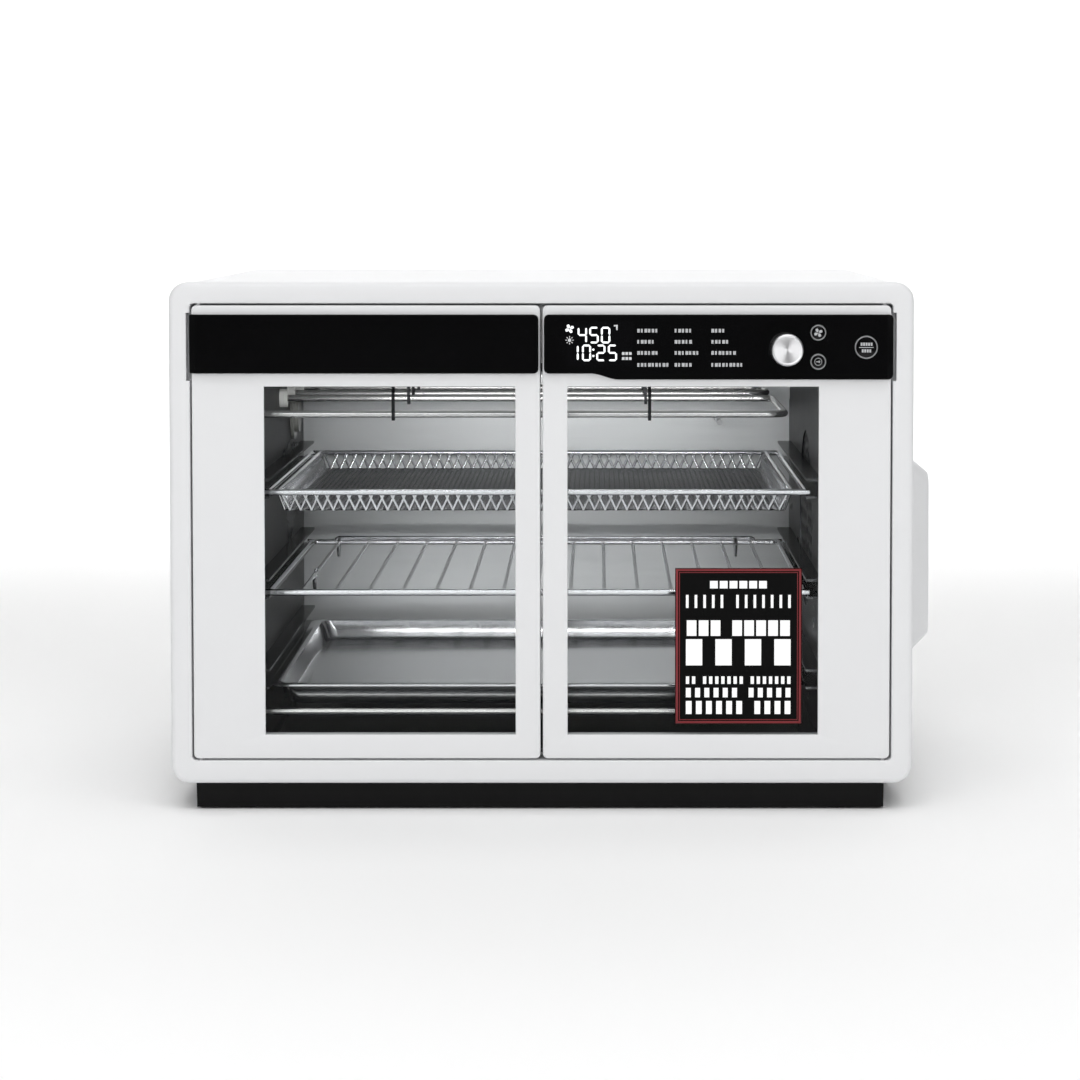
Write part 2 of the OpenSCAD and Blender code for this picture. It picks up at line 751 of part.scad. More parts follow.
// Shallow basket: rim wire, sloped sides taken as upright, and a floor
module air_fry_basket() {
    x0 = rack_x[0] + wire_r;
    x1 = rack_x[1] - wire_r;
    y0 = rack_y[0] + wire_r;
    y1 = deep_y1 - wire_r;
    in = 9;
    floor_h = 12;
    cab() color("silver") {
        for (y = [y0, y1]) bar_x(x0, x1, y, basket_z, wire_r);
        for (x = [x0, x1]) bar_y(x, y0, y1, basket_z, wire_r);
        for (x = [x0, x1], y = [y0, y1]) translate([x, y, basket_z]) sphere(wire_r);
        difference() {
            slab([x0 + in, y0 - 1, basket_z - floor_h], [x1 - in, y1 + 1, basket_z + 1]);
            slab([x0 + in + 1.2, y0 + 1, basket_z - floor_h + 1.2], [x1 - in - 1.2, y1 - 1, basket_z + 2]);
        }
        for (s = [[x0, x0 + in + 1], [x1 - in - 1, x1]])
            slab([s[0], y0, basket_z - 0.6], [s[1], y1, basket_z + 0.6]);
    }
}

// Pressed tray with a flat rim
module bake_tray() {
    x0 = rack_x[0] + 2;
    x1 = rack_x[1] - 2;
    y0 = rack_y[0] + 2;
    y1 = deep_y1 - 2;
    rim = 8;
    deep = 14;
    cab() color("silver") difference() {
        union() {
            translate([0, 0, tray_z - 1]) linear_extrude(1) rrect(x0, y0, x1, y1, 14);
            translate([0, 0, tray_z - deep]) linear_extrude(deep) rrect(x0 + rim, y0 + rim, x1 - rim, y1 - rim, 12);
        }
        translate([0, 0, tray_z - deep + 1]) linear_extrude(deep)
            rrect(x0 + rim + 1, y0 + rim + 1, x1 - rim - 1, y1 - rim - 1, 11);
    }
}

// Flat tray on the cavity floor, with an upturned front lip
module crumb_tray() {
    cab() color("silver") difference() {
        slab([rack_x[0] + 4, face_y + 35, floor_z + gap], [rack_x[1] - 4, cav_y1 - 14, floor_z + 6]);
        slab([rack_x[0] + 5, face_y + 36, floor_z + gap + 1], [rack_x[1] - 5, cav_y1 - 15, floor_z + 7]);
    }
}

front_frame();
outer_wrap();
side_vent_cover();
rear_panel();
rear_spacers();
base_pan();
front_foot_bar();
rear_foot_bar();
foot_pads();
cabinet_screws();
cord_gland();
cavity_flange();
cavity_ceiling();
cavity_floor();
cavity_back();
cavity_left_wall();
cavity_right_wall();
left_rack_rails();
right_rack_rails();
fan_guard();
fan_shroud();
convection_fan();
fan_shaft();
fan_motor();
motor_bracket();
cooling_fan();
upper_heater();
lower_heater();
heater_insulators();
heater_hangers();
lamp_lens();
lamp_bulb();
lamp_socket();
temperature_probe();
thermal_cutout();
insulation_blanket();
power_board();
door_seal();
hinge_pins();
catch_magnets();
left_door_frame();
left_glass();
left_door_liner();
left_band();
left_strike();
right_door_frame();
right_glass();
right_door_liner();
right_band();
right_strike();
display_lens();
control_unit();
knob();
fan_button();
light_button();
start_button();
wire_rack();
air_fry_basket();
bake_tray();
crumb_tray();
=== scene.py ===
"""A white French-door countertop oven: its looks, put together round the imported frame."""

import math

import bmesh
import bpy
from mathutils import Matrix, Vector


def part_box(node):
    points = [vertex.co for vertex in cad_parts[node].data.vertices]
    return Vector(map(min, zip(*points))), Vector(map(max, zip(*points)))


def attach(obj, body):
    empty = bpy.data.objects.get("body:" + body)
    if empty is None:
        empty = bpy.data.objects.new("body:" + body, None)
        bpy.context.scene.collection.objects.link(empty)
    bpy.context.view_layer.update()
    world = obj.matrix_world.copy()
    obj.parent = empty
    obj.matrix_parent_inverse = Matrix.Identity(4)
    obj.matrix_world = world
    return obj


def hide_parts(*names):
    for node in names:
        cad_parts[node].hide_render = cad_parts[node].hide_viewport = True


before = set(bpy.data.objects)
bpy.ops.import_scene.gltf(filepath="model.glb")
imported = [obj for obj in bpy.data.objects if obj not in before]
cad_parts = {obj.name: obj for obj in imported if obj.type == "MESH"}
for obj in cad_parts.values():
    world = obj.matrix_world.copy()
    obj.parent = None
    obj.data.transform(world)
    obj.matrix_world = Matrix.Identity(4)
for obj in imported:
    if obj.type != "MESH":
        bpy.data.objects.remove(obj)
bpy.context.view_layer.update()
MM = 0.001

# ---- Studio ---------------------------------------------------------------
# A seamless pale sweep under and behind the oven, a wide softbox high above the
# camera, a panel overhead, two side fills, and lamps for the floor and the sweep.
# Three small panels inside the cavity light its back wall and ceiling. The room
# before the oven stays dim, so that its gloss parts read black. The camera looks
# slightly down, from the right of the middle, through a long lens.

def area_light(name, place, target, width, height, power):
    data = bpy.data.lights.new(name, "AREA")
    data.shape = "RECTANGLE"
    data.size = width
    data.size_y = height
    data.energy = power
    lamp = bpy.data.objects.new(name, data)
    lamp.location = place
    lamp.rotation_euler = (Vector(target) - Vector(place)).to_track_quat("-Z", "Y").to_euler()
    bpy.context.collection.objects.link(lamp)
    return lamp


sweep_profile = [(-2.6, 0), (1.6, 0)]
sweep_profile += [(1.6 + 0.9 * math.sin(math.radians(a)), 0.9 - 0.9 * math.cos(math.radians(a)))
                  for a in range(6, 91, 6)]
sweep_profile.append((2.5, 4.5))
sweep_points = [(x, y, z) for x in (-4.5, 4.5) for y, z in sweep_profile]
sweep_count = len(sweep_profile)
sweep_mesh = bpy.data.meshes.new("sweep")
sweep_mesh.from_pydata(sweep_points, [], [(i, sweep_count + i, sweep_count + i + 1, i + 1)
                                          for i in range(sweep_count - 1)])
sweep_mesh.polygons.foreach_set("use_smooth", [True] * len(sweep_mesh.polygons))
sweep = bpy.data.objects.new("sweep", sweep_mesh)
bpy.context.collection.objects.link(sweep)
sweep_paper = bpy.data.materials.new("sweep_paper")
sweep_paper.use_nodes = True
sweep_paper.node_tree.nodes["Principled BSDF"].inputs["Base Color"].default_value = (0.99, 0.99, 0.99, 1)
sweep_paper.node_tree.nodes["Principled BSDF"].inputs["Roughness"].default_value = 0.9
sweep_mesh.materials.append(sweep_paper)

area_light("key_softbox", (-0.3, -2.6, 1.0), (0, 0, 0.15), 2.8, 0.9, 20.5)
area_light("high_softbox", (0, -1.6, 2.4), (0, 0, 0.15), 2.4, 1.2, 8)
area_light("top_panel", (0, -0.3, 3.4), (0, 0, 0), 4.0, 3.4, 66)
area_light("left_fill", (-2.3, -1.5, 1.0), (0, 0, 0.15), 1.2, 1.6, 3)
area_light("right_fill", (2.3, -1.5, 1.0), (0, 0, 0.15), 1.2, 1.6, 7)
area_light("floor_wash", (0, -1.3, 1.6), (0, -1.1, 0), 4.4, 0.7, 4).data.spread = math.radians(120)
area_light("cavity_fill", (0, -0.14, 0.25), (0, 0.17, 0.15), 0.26, 0.012, 0.2).visible_camera = False
area_light("cavity_fill_low", (0, -0.13, 0.105), (0, 0.17, 0.17), 0.26, 0.012, 0.06).visible_camera = False
area_light("cavity_glow", (0, -0.06, 0.2), (0, -0.02, 0.3), 0.26, 0.03, 0.02).visible_camera = False
area_light("sweep_wash", (0, 0.9, 2.8), (0, 2.5, 1.2), 4.0, 0.8, 34).data.spread = math.radians(100)

surround = bpy.data.worlds.new("surround")
surround.use_nodes = True
surround.node_tree.nodes["Background"].inputs["Color"].default_value = (1, 1, 1, 1)
surround.node_tree.nodes["Background"].inputs["Strength"].default_value = 0.1
bpy.context.scene.world = surround
bpy.context.scene.view_settings.view_transform = "Standard"

camera_data = bpy.data.cameras.new("camera")
camera_data.lens = 101.96
camera_data.shift_x = -0.0534
camera_data.shift_y = -0.17
camera = bpy.data.objects.new("camera", camera_data)
camera.location = (0.023, -2.0297, 0.3687)
camera.rotation_euler = (math.radians(90 - 2.874), 0, 0)
bpy.context.collection.objects.link(camera)
bpy.context.scene.camera = camera

# ---- Base pan, foot bars and pads -----------------------------------------
# A zinc-coated sheet closes the underside. Two black moulded bars are screwed
# to it across the whole width, each with two rubber pads pressed into pockets.

def surface(name, colour, rough, scale=60, stretch=(1, 1, 1), vary=0.04, rough_vary=0.05, bump=0.02,
            depth=0.0002, **sockets):
    """A finish with cloudy colour, uneven gloss and a fine relief, all from one noise."""
    material = bpy.data.materials.new(name)
    material.use_nodes = True
    tree = material.node_tree
    shader = tree.nodes["Principled BSDF"]
    for socket, value in sockets.items():
        shader.inputs[socket.replace("_", " ")].default_value = value
    place = tree.nodes.new("ShaderNodeTexCoord")
    mapping = tree.nodes.new("ShaderNodeMapping")
    mapping.inputs["Scale"].default_value = [scale * s for s in stretch]
    noise = tree.nodes.new("ShaderNodeTexNoise")
    noise.inputs["Scale"].default_value = 1
    noise.inputs["Detail"].default_value = 5
    tint = tree.nodes.new("ShaderNodeMix")
    tint.data_type = "RGBA"
    tint.inputs["A"].default_value = [c * (1 - vary) for c in colour] + [1]
    tint.inputs["B"].default_value = [min(1, c * (1 + vary)) for c in colour] + [1]
    gloss = tree.nodes.new("ShaderNodeMapRange")
    gloss.inputs["To Min"].default_value = rough - rough_vary
    gloss.inputs["To Max"].default_value = rough + rough_vary
    relief = tree.nodes.new("ShaderNodeBump")
    relief.inputs["Strength"].default_value = bump
    relief.inputs["Distance"].default_value = depth
    link = tree.links.new
    link(place.outputs["Object"], mapping.inputs["Vector"])
    link(mapping.outputs["Vector"], noise.inputs["Vector"])
    link(noise.outputs["Fac"], tint.inputs["Factor"])
    link(tint.outputs["Result"], shader.inputs["Base Color"])
    link(noise.outputs["Fac"], gloss.inputs["Value"])
    link(gloss.outputs["Result"], shader.inputs["Roughness"])
    link(noise.outputs["Fac"], relief.inputs["Height"])
    link(relief.outputs["Normal"], shader.inputs["Normal"])
    return material


def dress(material, *nodes):
    """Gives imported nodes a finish."""
    for name in nodes:
        for material_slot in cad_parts[name].material_slots:
            material_slot.material = material


zinc_sheet = surface("zinc_sheet", (0.36, 0.37, 0.38), 0.4, scale=35, vary=0.12, rough_vary=0.1, Metallic=1)
black_moulding = surface("black_moulding", (0.003, 0.003, 0.003), 0.6, scale=900, bump=0.25,
                         Specular_IOR_Level=0.15)
black_rubber = surface("black_rubber", (0.02, 0.02, 0.02), 0.85, scale=400, bump=0.3)
dress(zinc_sheet, "base_pan", "rear_panel")
dress(black_moulding, "front_foot_bar", "rear_foot_bar", "rear_spacers", "cord_gland")
dress(black_rubber, "foot_pads")

# ---- Front frame ----------------------------------------------------------
# A powder-coated steel bezel with a rolled front edge. It carries the doors'
# pins and magnets, and has a relief pocket at each end of the black bands.

def rounded_loop(x0, z0, x1, z1, r, level, plane="XZ", steps=8):
    """Points round a rectangle with round corners, in a plane at that level."""
    points = []
    for cx, cz, start in ((x1 - r, z1 - r, 0), (x0 + r, z1 - r, 90), (x0 + r, z0 + r, 180), (x1 - r, z0 + r, 270)):
        for i in range(steps + 1):
            a = math.radians(start + 90 * i / steps)
            u, v = cx + r * math.cos(a), cz + r * math.sin(a)
            points.append({"XZ": (u, level, v), "XY": (u, v, level), "YZ": (level, u, v)}[plane])
    return points


def finish_mesh(bm, name, material, sharp=40):
    """A mesh object whose faces point out and whose edges are crisp past an angle."""
    bmesh.ops.remove_doubles(bm, verts=bm.verts, dist=1e-7)
    bmesh.ops.recalc_face_normals(bm, faces=bm.faces)
    for face in bm.faces:
        face.smooth = True
    for edge in bm.edges:
        if len(edge.link_faces) == 2:
            edge.smooth = edge.calc_face_angle() < math.radians(sharp)
    mesh = bpy.data.meshes.new(name)
    bm.to_mesh(mesh)
    bm.free()
    mesh.materials.append(material)
    piece = bpy.data.objects.new(name, mesh)
    bpy.context.collection.objects.link(piece)
    return piece


def loft(name, loops, material, closed=False):
    """Skin over a row of loops, joined into a ring if closed and capped if not."""
    bm = bmesh.new()
    rings = [[bm.verts.new(p) for p in loop] for loop in loops]
    count = len(rings[0])
    for a, b in zip(rings, rings[1:] + rings[:1] if closed else rings[1:]):
        for i in range(count):
            bm.faces.new((a[i], a[(i + 1) % count], b[(i + 1) % count], b[i]))
    if not closed:
        bm.faces.new(rings[0])
        bm.faces.new(rings[-1])
    return finish_mesh(bm, name, material)


def settle(piece):
    """Turns a piece and its modifiers into a plain mesh."""
    graph = bpy.context.evaluated_depsgraph_get()
    mesh = bpy.data.meshes.new_from_object(piece.evaluated_get(graph), depsgraph=graph)
    piece.modifiers.clear()
    piece.data = mesh
    return piece


def cut(piece, *boxes):
    """Cuts boxes, each given by two corners, out of a piece."""
    bm = bmesh.new()
    for lo, hi in boxes:
        size = Vector(hi) - Vector(lo)
        middle = (Vector(hi) + Vector(lo)) / 2
        bmesh.ops.create_cube(bm, size=1, matrix=Matrix.Translation(middle) @ Matrix.Diagonal((*size, 1)))
    return cut_with(piece, bm)


def cut_with(piece, bm):
    """Cuts what bm holds out of a piece."""
    mesh = bpy.data.meshes.new("cutter")
    bm.to_mesh(mesh)
    bm.free()
    cutter = bpy.data.objects.new("cutter", mesh)
    bpy.context.collection.objects.link(cutter)
    modifier = piece.modifiers.new("cut", "BOOLEAN")
    modifier.operation = "DIFFERENCE"
    modifier.solver = "EXACT"
    modifier.object = cutter
    settle(piece)
    bpy.data.objects.remove(cutter)
    return piece


def front_fillet(box, r, fillet, face, steps=5):
    """Loops that turn from a box's sides to its front face."""
    x0, z0, x1, z1 = box
    loops = []
    for i in range(steps + 1):
        a = math.radians(90 * i / steps)
        d = fillet * (1 - math.cos(a))
        loops.append(rounded_loop(x0 + d, z0 + d, x1 - d, z1 - d, max(r - d, 0.0002), face + fillet * (1 - math.sin(a))))
    return loops


def edge_fillet(box, r, fillet, face, steps=3):
    """Loops that turn from the front face into an opening's sides."""
    x0, z0, x1, z1 = box
    loops = []
    for i in range(steps + 1):
        a = math.radians(90 * i / steps)
        d = fillet * (1 - math.sin(a))
        loops.append(rounded_loop(x0 - d, z0 - d, x1 + d, z1 + d, r + d, face + fillet * (1 - math.cos(a))))
    return loops


powder_white = surface("powder_white", (0.82, 0.825, 0.835), 0.42, scale=1400, vary=0.008, rough_vary=0.03,
                       bump=0.12, depth=0.0001)
frame_lo, frame_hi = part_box("front_frame")
left_lo, left_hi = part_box("left_door_frame")
right_lo, right_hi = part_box("right_door_frame")
face_y = frame_lo[1]
door_gap = 1.2 * MM
opening = (left_lo[0] - door_gap, left_lo[2] - door_gap, right_hi[0] + door_gap, left_hi[2] + door_gap)
frame_box = (frame_lo[0], frame_lo[2], frame_hi[0], frame_hi[2])
frame_corner = 11.5 * MM
frame_loops = [rounded_loop(*frame_box, frame_corner, frame_hi[1])]
frame_loops += front_fillet(frame_box, frame_corner, 3.5 * MM, face_y)
frame_loops += edge_fillet(opening, 2.5 * MM, 0.8 * MM, face_y)
frame_loops.append(rounded_loop(*opening, 2.5 * MM, frame_hi[1]))
front_frame = loft("front_frame_bezel", frame_loops, powder_white, closed=True)
pocket_d = 12 * MM
pocket_x = 3.3 * MM
band_lo, band_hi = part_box("right_band")
pockets = []
for outer, inner in ((left_lo[0] - pocket_x, left_lo[0] + MM), (right_hi[0] - MM, right_hi[0] + pocket_x)):
    pockets.append(((outer, face_y - MM, band_lo[2] - MM), (inner, face_y + pocket_d, band_hi[2] + MM)))
cut(front_frame, *pockets)
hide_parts("front_frame")
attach(front_frame, "cabinet")

# ---- Wrap, rear panel and screws -------------------------------------------
# One sheet is bent over the top and both sides, powder-coated like the frame.
# The bare zinc rear panel is held by six pan-head screws.

bright_screw = surface("bright_screw", (0.45, 0.45, 0.46), 0.3, scale=500, vary=0.08, Metallic=1)
dress(powder_white, "outer_wrap")
dress(bright_screw, "cabinet_screws", "hinge_pins", "fan_shaft", "temperature_probe", "left_strike",
      "right_strike")

# ---- Side vent cover --------------------------------------------------------
# A pressed steel cover stands off the right side over the fan motor, with
# sloping sides and a louvred face.

vent_lo, vent_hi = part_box("side_vent_cover")
vent_slope = 19 * MM
vent_steps = ((0, 0, 6), (0.9, 0.93, 9), (0.97, 0.985, 9), (1, 1, 9))
vent_loops = []


def vent_loop(share, out, r):
    """The cover's outline part of the way up its slope."""
    d = vent_slope * share
    x = vent_lo[0] + (vent_hi[0] - vent_lo[0]) * out
    return rounded_loop(vent_lo[1] + d, vent_lo[2] + d, vent_hi[1] - d, vent_hi[2] - d, r * MM, x, "YZ")


for share, out, r in vent_steps:
    vent_loops.append(vent_loop(share, out, r))
vent_loops.append(vent_loop(1.1, 1, 7))
louvre_box = (vent_lo[1] + 38 * MM, vent_lo[2] + 28 * MM, vent_hi[1] - 38 * MM, vent_hi[2] - 28 * MM)
wall = 1.5 * MM
vent_loops.append(rounded_loop(*louvre_box, 3 * MM, vent_hi[0], "YZ"))
vent_loops.append(rounded_loop(*louvre_box, 3 * MM, vent_hi[0] - wall, "YZ"))
vent_loops.append(rounded_loop(vent_lo[1] + 24 * MM, vent_lo[2] + 24 * MM, vent_hi[1] - 24 * MM, vent_hi[2] - 24 * MM,
                               6 * MM, vent_hi[0] - wall, "YZ"))
vent_loops.append(rounded_loop(vent_lo[1] + 4 * MM, vent_lo[2] + 4 * MM, vent_hi[1] - 4 * MM, vent_hi[2] - 4 * MM,
                               5 * MM, vent_lo[0], "YZ"))
vent_cover = loft("vent_cover_shell", vent_loops, powder_white, closed=True)
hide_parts("side_vent_cover")
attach(vent_cover, "cabinet")


def new_tree(name, inputs):
    """An empty geometry tree with named inputs, and its two end nodes."""
    tree = bpy.data.node_groups.new(name, "GeometryNodeTree")
    tree.interface.new_socket("Geometry", in_out="INPUT", socket_type="NodeSocketGeometry")
    for label, kind in inputs:
        tree.interface.new_socket(label, in_out="INPUT", socket_type=kind)
    tree.interface.new_socket("Geometry", in_out="OUTPUT", socket_type="NodeSocketGeometry")
    return tree, tree.nodes.new("NodeGroupInput"), tree.nodes.new("NodeGroupOutput")


def grow(piece, tree, **values):
    """Runs a geometry tree on a piece with its inputs set, and keeps the plain result."""
    modifier = piece.modifiers.new(tree.name, "NODES")
    modifier.node_group = tree
    for item in tree.interface.items_tree:
        if item.in_out == "INPUT" and item.name in values:
            modifier[item.identifier] = values[item.name]
    return settle(piece)


def row_tree(name):
    """A row of the piece's own shape, repeated along a step."""
    tree, start, end = new_tree(name, [("Count", "NodeSocketInt"), ("Step", "NodeSocketVector"),
                                       ("Finish", "NodeSocketMaterial")])
    line = tree.nodes.new("GeometryNodeMeshLine")
    place = tree.nodes.new("GeometryNodeInstanceOnPoints")
    real = tree.nodes.new("GeometryNodeRealizeInstances")
    paint = tree.nodes.new("GeometryNodeSetMaterial")
    link = tree.links.new
    link(start.outputs["Count"], line.inputs["Count"])
    link(start.outputs["Step"], line.inputs["Offset"])
    link(line.outputs["Mesh"], place.inputs["Points"])
    link(start.outputs["Geometry"], place.inputs["Instance"])
    link(place.outputs["Instances"], real.inputs["Geometry"])
    link(real.outputs["Geometry"], paint.inputs["Geometry"])
    link(start.outputs["Finish"], paint.inputs["Material"])
    link(paint.outputs["Geometry"], end.inputs["Geometry"])
    return tree


repeat_row = row_tree("repeat_row")
louvre_pitch = 7.4 * MM
louvre_count = int((louvre_box[3] - louvre_box[1]) / louvre_pitch)
louvre_profile = [(0, 0), (-0.9, 0.2), (-5.5, -3.6), (-5.9, -3.1), (-1.2, 1.0), (0, 1.2)]
louvre_loops = []
for y in (louvre_box[0] - MM, louvre_box[2] + MM):
    louvre_loops.append([(vent_hi[0] + (u - 0.1) * MM, y, louvre_box[1] + louvre_pitch * 0.75 + v * MM)
                         for u, v in louvre_profile])
louvres = loft("vent_louvres", louvre_loops, powder_white)
grow(louvres, repeat_row, Count=louvre_count, Step=(0, 0, louvre_pitch), Finish=powder_white)
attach(louvres, "cabinet")

# ---- Cavity -----------------------------------------------------------------
# Folded aluminised sheet: five panels spot-welded to a flange behind the front
# frame, with pressed channels on both sides that carry the racks.

rolled_steel = surface("rolled_steel", (0.86, 0.865, 0.87), 0.42, scale=14, stretch=(1, 1, 14), vary=0.06,
                       rough_vary=0.06, bump=0.04, Metallic=0.6)
# The floor, side walls and fan guard take a dark copy of the cavity's aluminised steel: the dark colour is painted
# shade.
shaded_cavity_steel = surface("shaded_cavity_steel", (0.16, 0.16, 0.165), 0.3, scale=9, stretch=(1, 1, 3), vary=0.25, rough_vary=0.1,
                     bump=0.02, Metallic=1, Specular_Tint=(0.3, 0.3, 0.3, 1))
rail_steel = surface("rail_steel", (0.20, 0.20, 0.205), 0.22, scale=30, vary=0.06, rough_vary=0.06, Metallic=1,
                     Specular_Tint=(0.4, 0.4, 0.4, 1))
dress(rolled_steel, "cavity_flange", "cavity_ceiling", "cavity_back")
dress(shaded_cavity_steel, "cavity_floor", "cavity_left_wall", "cavity_right_wall", "fan_guard")
black_oxide = surface("black_oxide", (0.03, 0.03, 0.032), 0.5, scale=90, vary=0.2, Metallic=1)
dress(rail_steel, "left_rack_rails", "right_rack_rails")
dress(black_oxide, "heater_hangers")

# ---- Fan, motor and cooling fan ----------------------------------------------
# A pressed wheel turns in a shallow cup behind the right wall. Its motor hangs
# on a strap outside the cup, with a small fan on the outer end of the shaft.

fan_sheet = surface("fan_sheet", (0.5, 0.5, 0.51), 0.4, scale=80, vary=0.1, Metallic=1)
motor_enamel = surface("motor_enamel", (0.03, 0.03, 0.033), 0.45, scale=300, bump=0.1)
dress(zinc_sheet, "fan_shroud", "motor_bracket")
dress(fan_sheet, "convection_fan", "cooling_fan")
dress(motor_enamel, "fan_motor", "thermal_cutout")

# ---- Heaters ------------------------------------------------------------------
# Sheathed rods bent into long loops above and below the racks. White ceramic
# bushes carry their ends through the left wall.

rod_sheath = surface("rod_sheath", (0.62, 0.61, 0.60), 0.22, scale=120, vary=0.08, Metallic=1)
white_ceramic = surface("white_ceramic", (0.82, 0.81, 0.78), 0.55, scale=260, bump=0.15)
dress(rod_sheath, "upper_heater", "lower_heater")
dress(white_ceramic, "heater_insulators", "lamp_socket")

# ---- Lamp, blanket and power board ----------------------------------------------
# A small bulb stands behind a frosted lens in the left wall. A fibre blanket
# lies on the ceiling, and the power board stands behind the right wall.

frosted_glass = surface("frosted_glass", (0.32, 0.32, 0.30), 0.35, scale=200, bump=0.2)
fibre = surface("fibre", (0.74, 0.72, 0.67), 0.95, scale=180, vary=0.12, bump=0.8, depth=0.001)
solder_mask = surface("solder_mask", (0.02, 0.13, 0.06), 0.35, scale=150, vary=0.2)
ferrite = surface("ferrite", (0.05, 0.05, 0.055), 0.6, scale=300, vary=0.2)
grey_silicone = surface("grey_silicone", (0.22, 0.22, 0.23), 0.6, scale=300, bump=0.1)
dress(frosted_glass, "lamp_lens", "lamp_bulb")
dress(fibre, "insulation_blanket")
dress(solder_mask, "power_board", "control_unit")
dress(ferrite, "catch_magnets")
dress(grey_silicone, "door_seal")

# ---- Doors ----------------------------------------------------------------------
# Each door is a shallow powder-coated tray with a window, a tempered pane
# behind it and a folded liner that presses the pane against the tray.

clear_glass = bpy.data.materials.new("clear_glass")
clear_glass.use_nodes = True
glass_tree = clear_glass.node_tree
glass_shine = glass_tree.nodes["Principled BSDF"]
for socket, value in {"Base Color": (0.95, 0.96, 0.96, 1), "Metallic": 1, "Roughness": 0.03}.items():
    glass_shine.inputs[socket].default_value = value
glass_clear = glass_tree.nodes.new("ShaderNodeBsdfTransparent")
glass_clear.inputs["Color"].default_value = (0.97, 0.98, 0.98, 1)
glass_edge = glass_tree.nodes.new("ShaderNodeLayerWeight")
glass_power = glass_tree.nodes.new("ShaderNodeMath")
glass_power.operation = "POWER"
glass_power.inputs[1].default_value = 5
glass_share = glass_tree.nodes.new("ShaderNodeMapRange")
glass_share.inputs["To Min"].default_value = 0.006
glass_share.inputs["To Max"].default_value = 0.9
glass_mix = glass_tree.nodes.new("ShaderNodeMixShader")
glass_link = glass_tree.links.new
glass_link(glass_edge.outputs["Facing"], glass_power.inputs[0])
glass_link(glass_power.outputs["Value"], glass_share.inputs["Value"])
glass_link(glass_share.outputs["Result"], glass_mix.inputs["Fac"])
glass_link(glass_clear.outputs["BSDF"], glass_mix.inputs[1])
glass_link(glass_shine.outputs["BSDF"], glass_mix.inputs[2])
glass_link(glass_mix.outputs["Shader"], glass_tree.nodes["Material Output"].inputs["Surface"])
dress(clear_glass, "left_glass", "right_glass")

liner_white = surface("liner_white", (0.78, 0.785, 0.795), 0.35, scale=1200, vary=0.01, bump=0.1)
dress(liner_white, "left_door_liner", "right_door_liner")

glass_lap = 6 * MM
plate = 2 * MM


def door_tray(side, material):
    """The outer tray of one door, as a ring round its window."""
    lo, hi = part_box(side + "_door_frame")
    pane_lo, pane_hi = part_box(side + "_glass")
    outline = (lo[0], lo[2], hi[0], hi[2])
    window = (pane_lo[0] + glass_lap, pane_lo[2] + glass_lap, pane_hi[0] - glass_lap, pane_hi[2] - glass_lap)
    inside = (lo[0] + plate, lo[2] + plate, hi[0] - plate, hi[2] - plate)
    corner = 3 * MM
    loops = [rounded_loop(*outline, corner, hi[1])]
    loops += front_fillet(outline, corner, 1.2 * MM, lo[1])
    loops += edge_fillet(window, 0.3 * MM, 0.5 * MM, lo[1])
    loops.append(rounded_loop(*window, 0.3 * MM, lo[1] + plate))
    loops.append(rounded_loop(*inside, 1.5 * MM, lo[1] + plate))
    loops.append(rounded_loop(*inside, 1.5 * MM, hi[1]))
    return loft(side + "_door_tray", loops, material, closed=True)


for side in ("left", "right"):
    tray = door_tray(side, powder_white)
    if side == "right":
        cut(tray, ((right_lo[0] + 11.25 * MM, face_y - MM, band_lo[2] + 4.2 * MM),
                   (right_hi[0] - 6.6 * MM, face_y + 3 * MM, band_hi[2] - 4 * MM)))
    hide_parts(side + "_door_frame")
    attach(tray, side + "_door")

# ---- Black bands -----------------------------------------------------------------
# Gloss black mouldings clipped across the top of both doors. The right one is
# deeper past its first part and is drilled for the controls.

gloss_black = surface("gloss_black", (0.002, 0.002, 0.0023), 0.09, scale=40, vary=0.1, rough_vary=0.03, bump=0.01,
                      Specular_IOR_Level=0.2)


def arc(cx, cz, r, start, end, steps=6):
    """Points along an arc, in degrees."""
    return [(cx + r * math.cos(math.radians(start + (end - start) * i / steps)),
             cz + r * math.sin(math.radians(start + (end - start) * i / steps))) for i in range(steps + 1)]


def slab_from(name, outline, y0, y1, material, soften=0):
    """A flat piece from an X-Z outline, with softened edges."""
    piece = loft(name, [[(x, y1, z) for x, z in outline], [(x, y0, z) for x, z in outline]], material)
    if soften:
        bevel = piece.modifiers.new("soften", "BEVEL")
        bevel.width = soften
        bevel.segments = 3
        bevel.limit_method = "ANGLE"
        bevel.angle_limit = math.radians(50)
        settle(piece)
    return piece


def bevel_end(piece, x_end, toward):
    """Thins the end of a band over its last 5 mm."""
    run = 5 * MM
    thin = 2.9 * MM
    bm = bmesh.new()
    bm.from_mesh(piece.data)
    geometry = bm.verts[:] + bm.edges[:] + bm.faces[:]
    bmesh.ops.bisect_plane(bm, geom=geometry, plane_co=(x_end - toward * run, 0, 0), plane_no=(1, 0, 0))
    for vert in bm.verts:
        past = (vert.co.x - (x_end - toward * run)) * toward / run
        if past > 1e-6:
            depth = (face_y - vert.co.y) / (face_y - band_lo[1])
            vert.co.y += max(0, depth) * past * thin
    bm.to_mesh(piece.data)
    bm.free()


left_band_lo, left_band_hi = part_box("left_band")
r = 3 * MM
x0, x1, z0, z1 = left_band_lo[0], left_band_hi[0], left_band_lo[2], left_band_hi[2]
outer = 1.2 * MM
outline = (arc(x1 - r, z1 - r, r, 0, 90) + arc(x0 + outer, z1 - outer, outer, 90, 180)
           + arc(x0 + outer, z0 + outer, outer, 180, 270) + arc(x1 - r, z0 + r, r, 270, 360))
left_band = slab_from("left_band_moulding", outline, left_band_lo[1], face_y, gloss_black, 0.5 * MM)
bevel_end(left_band, left_band_lo[0], -1)
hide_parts("left_band")
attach(left_band, "left_door")

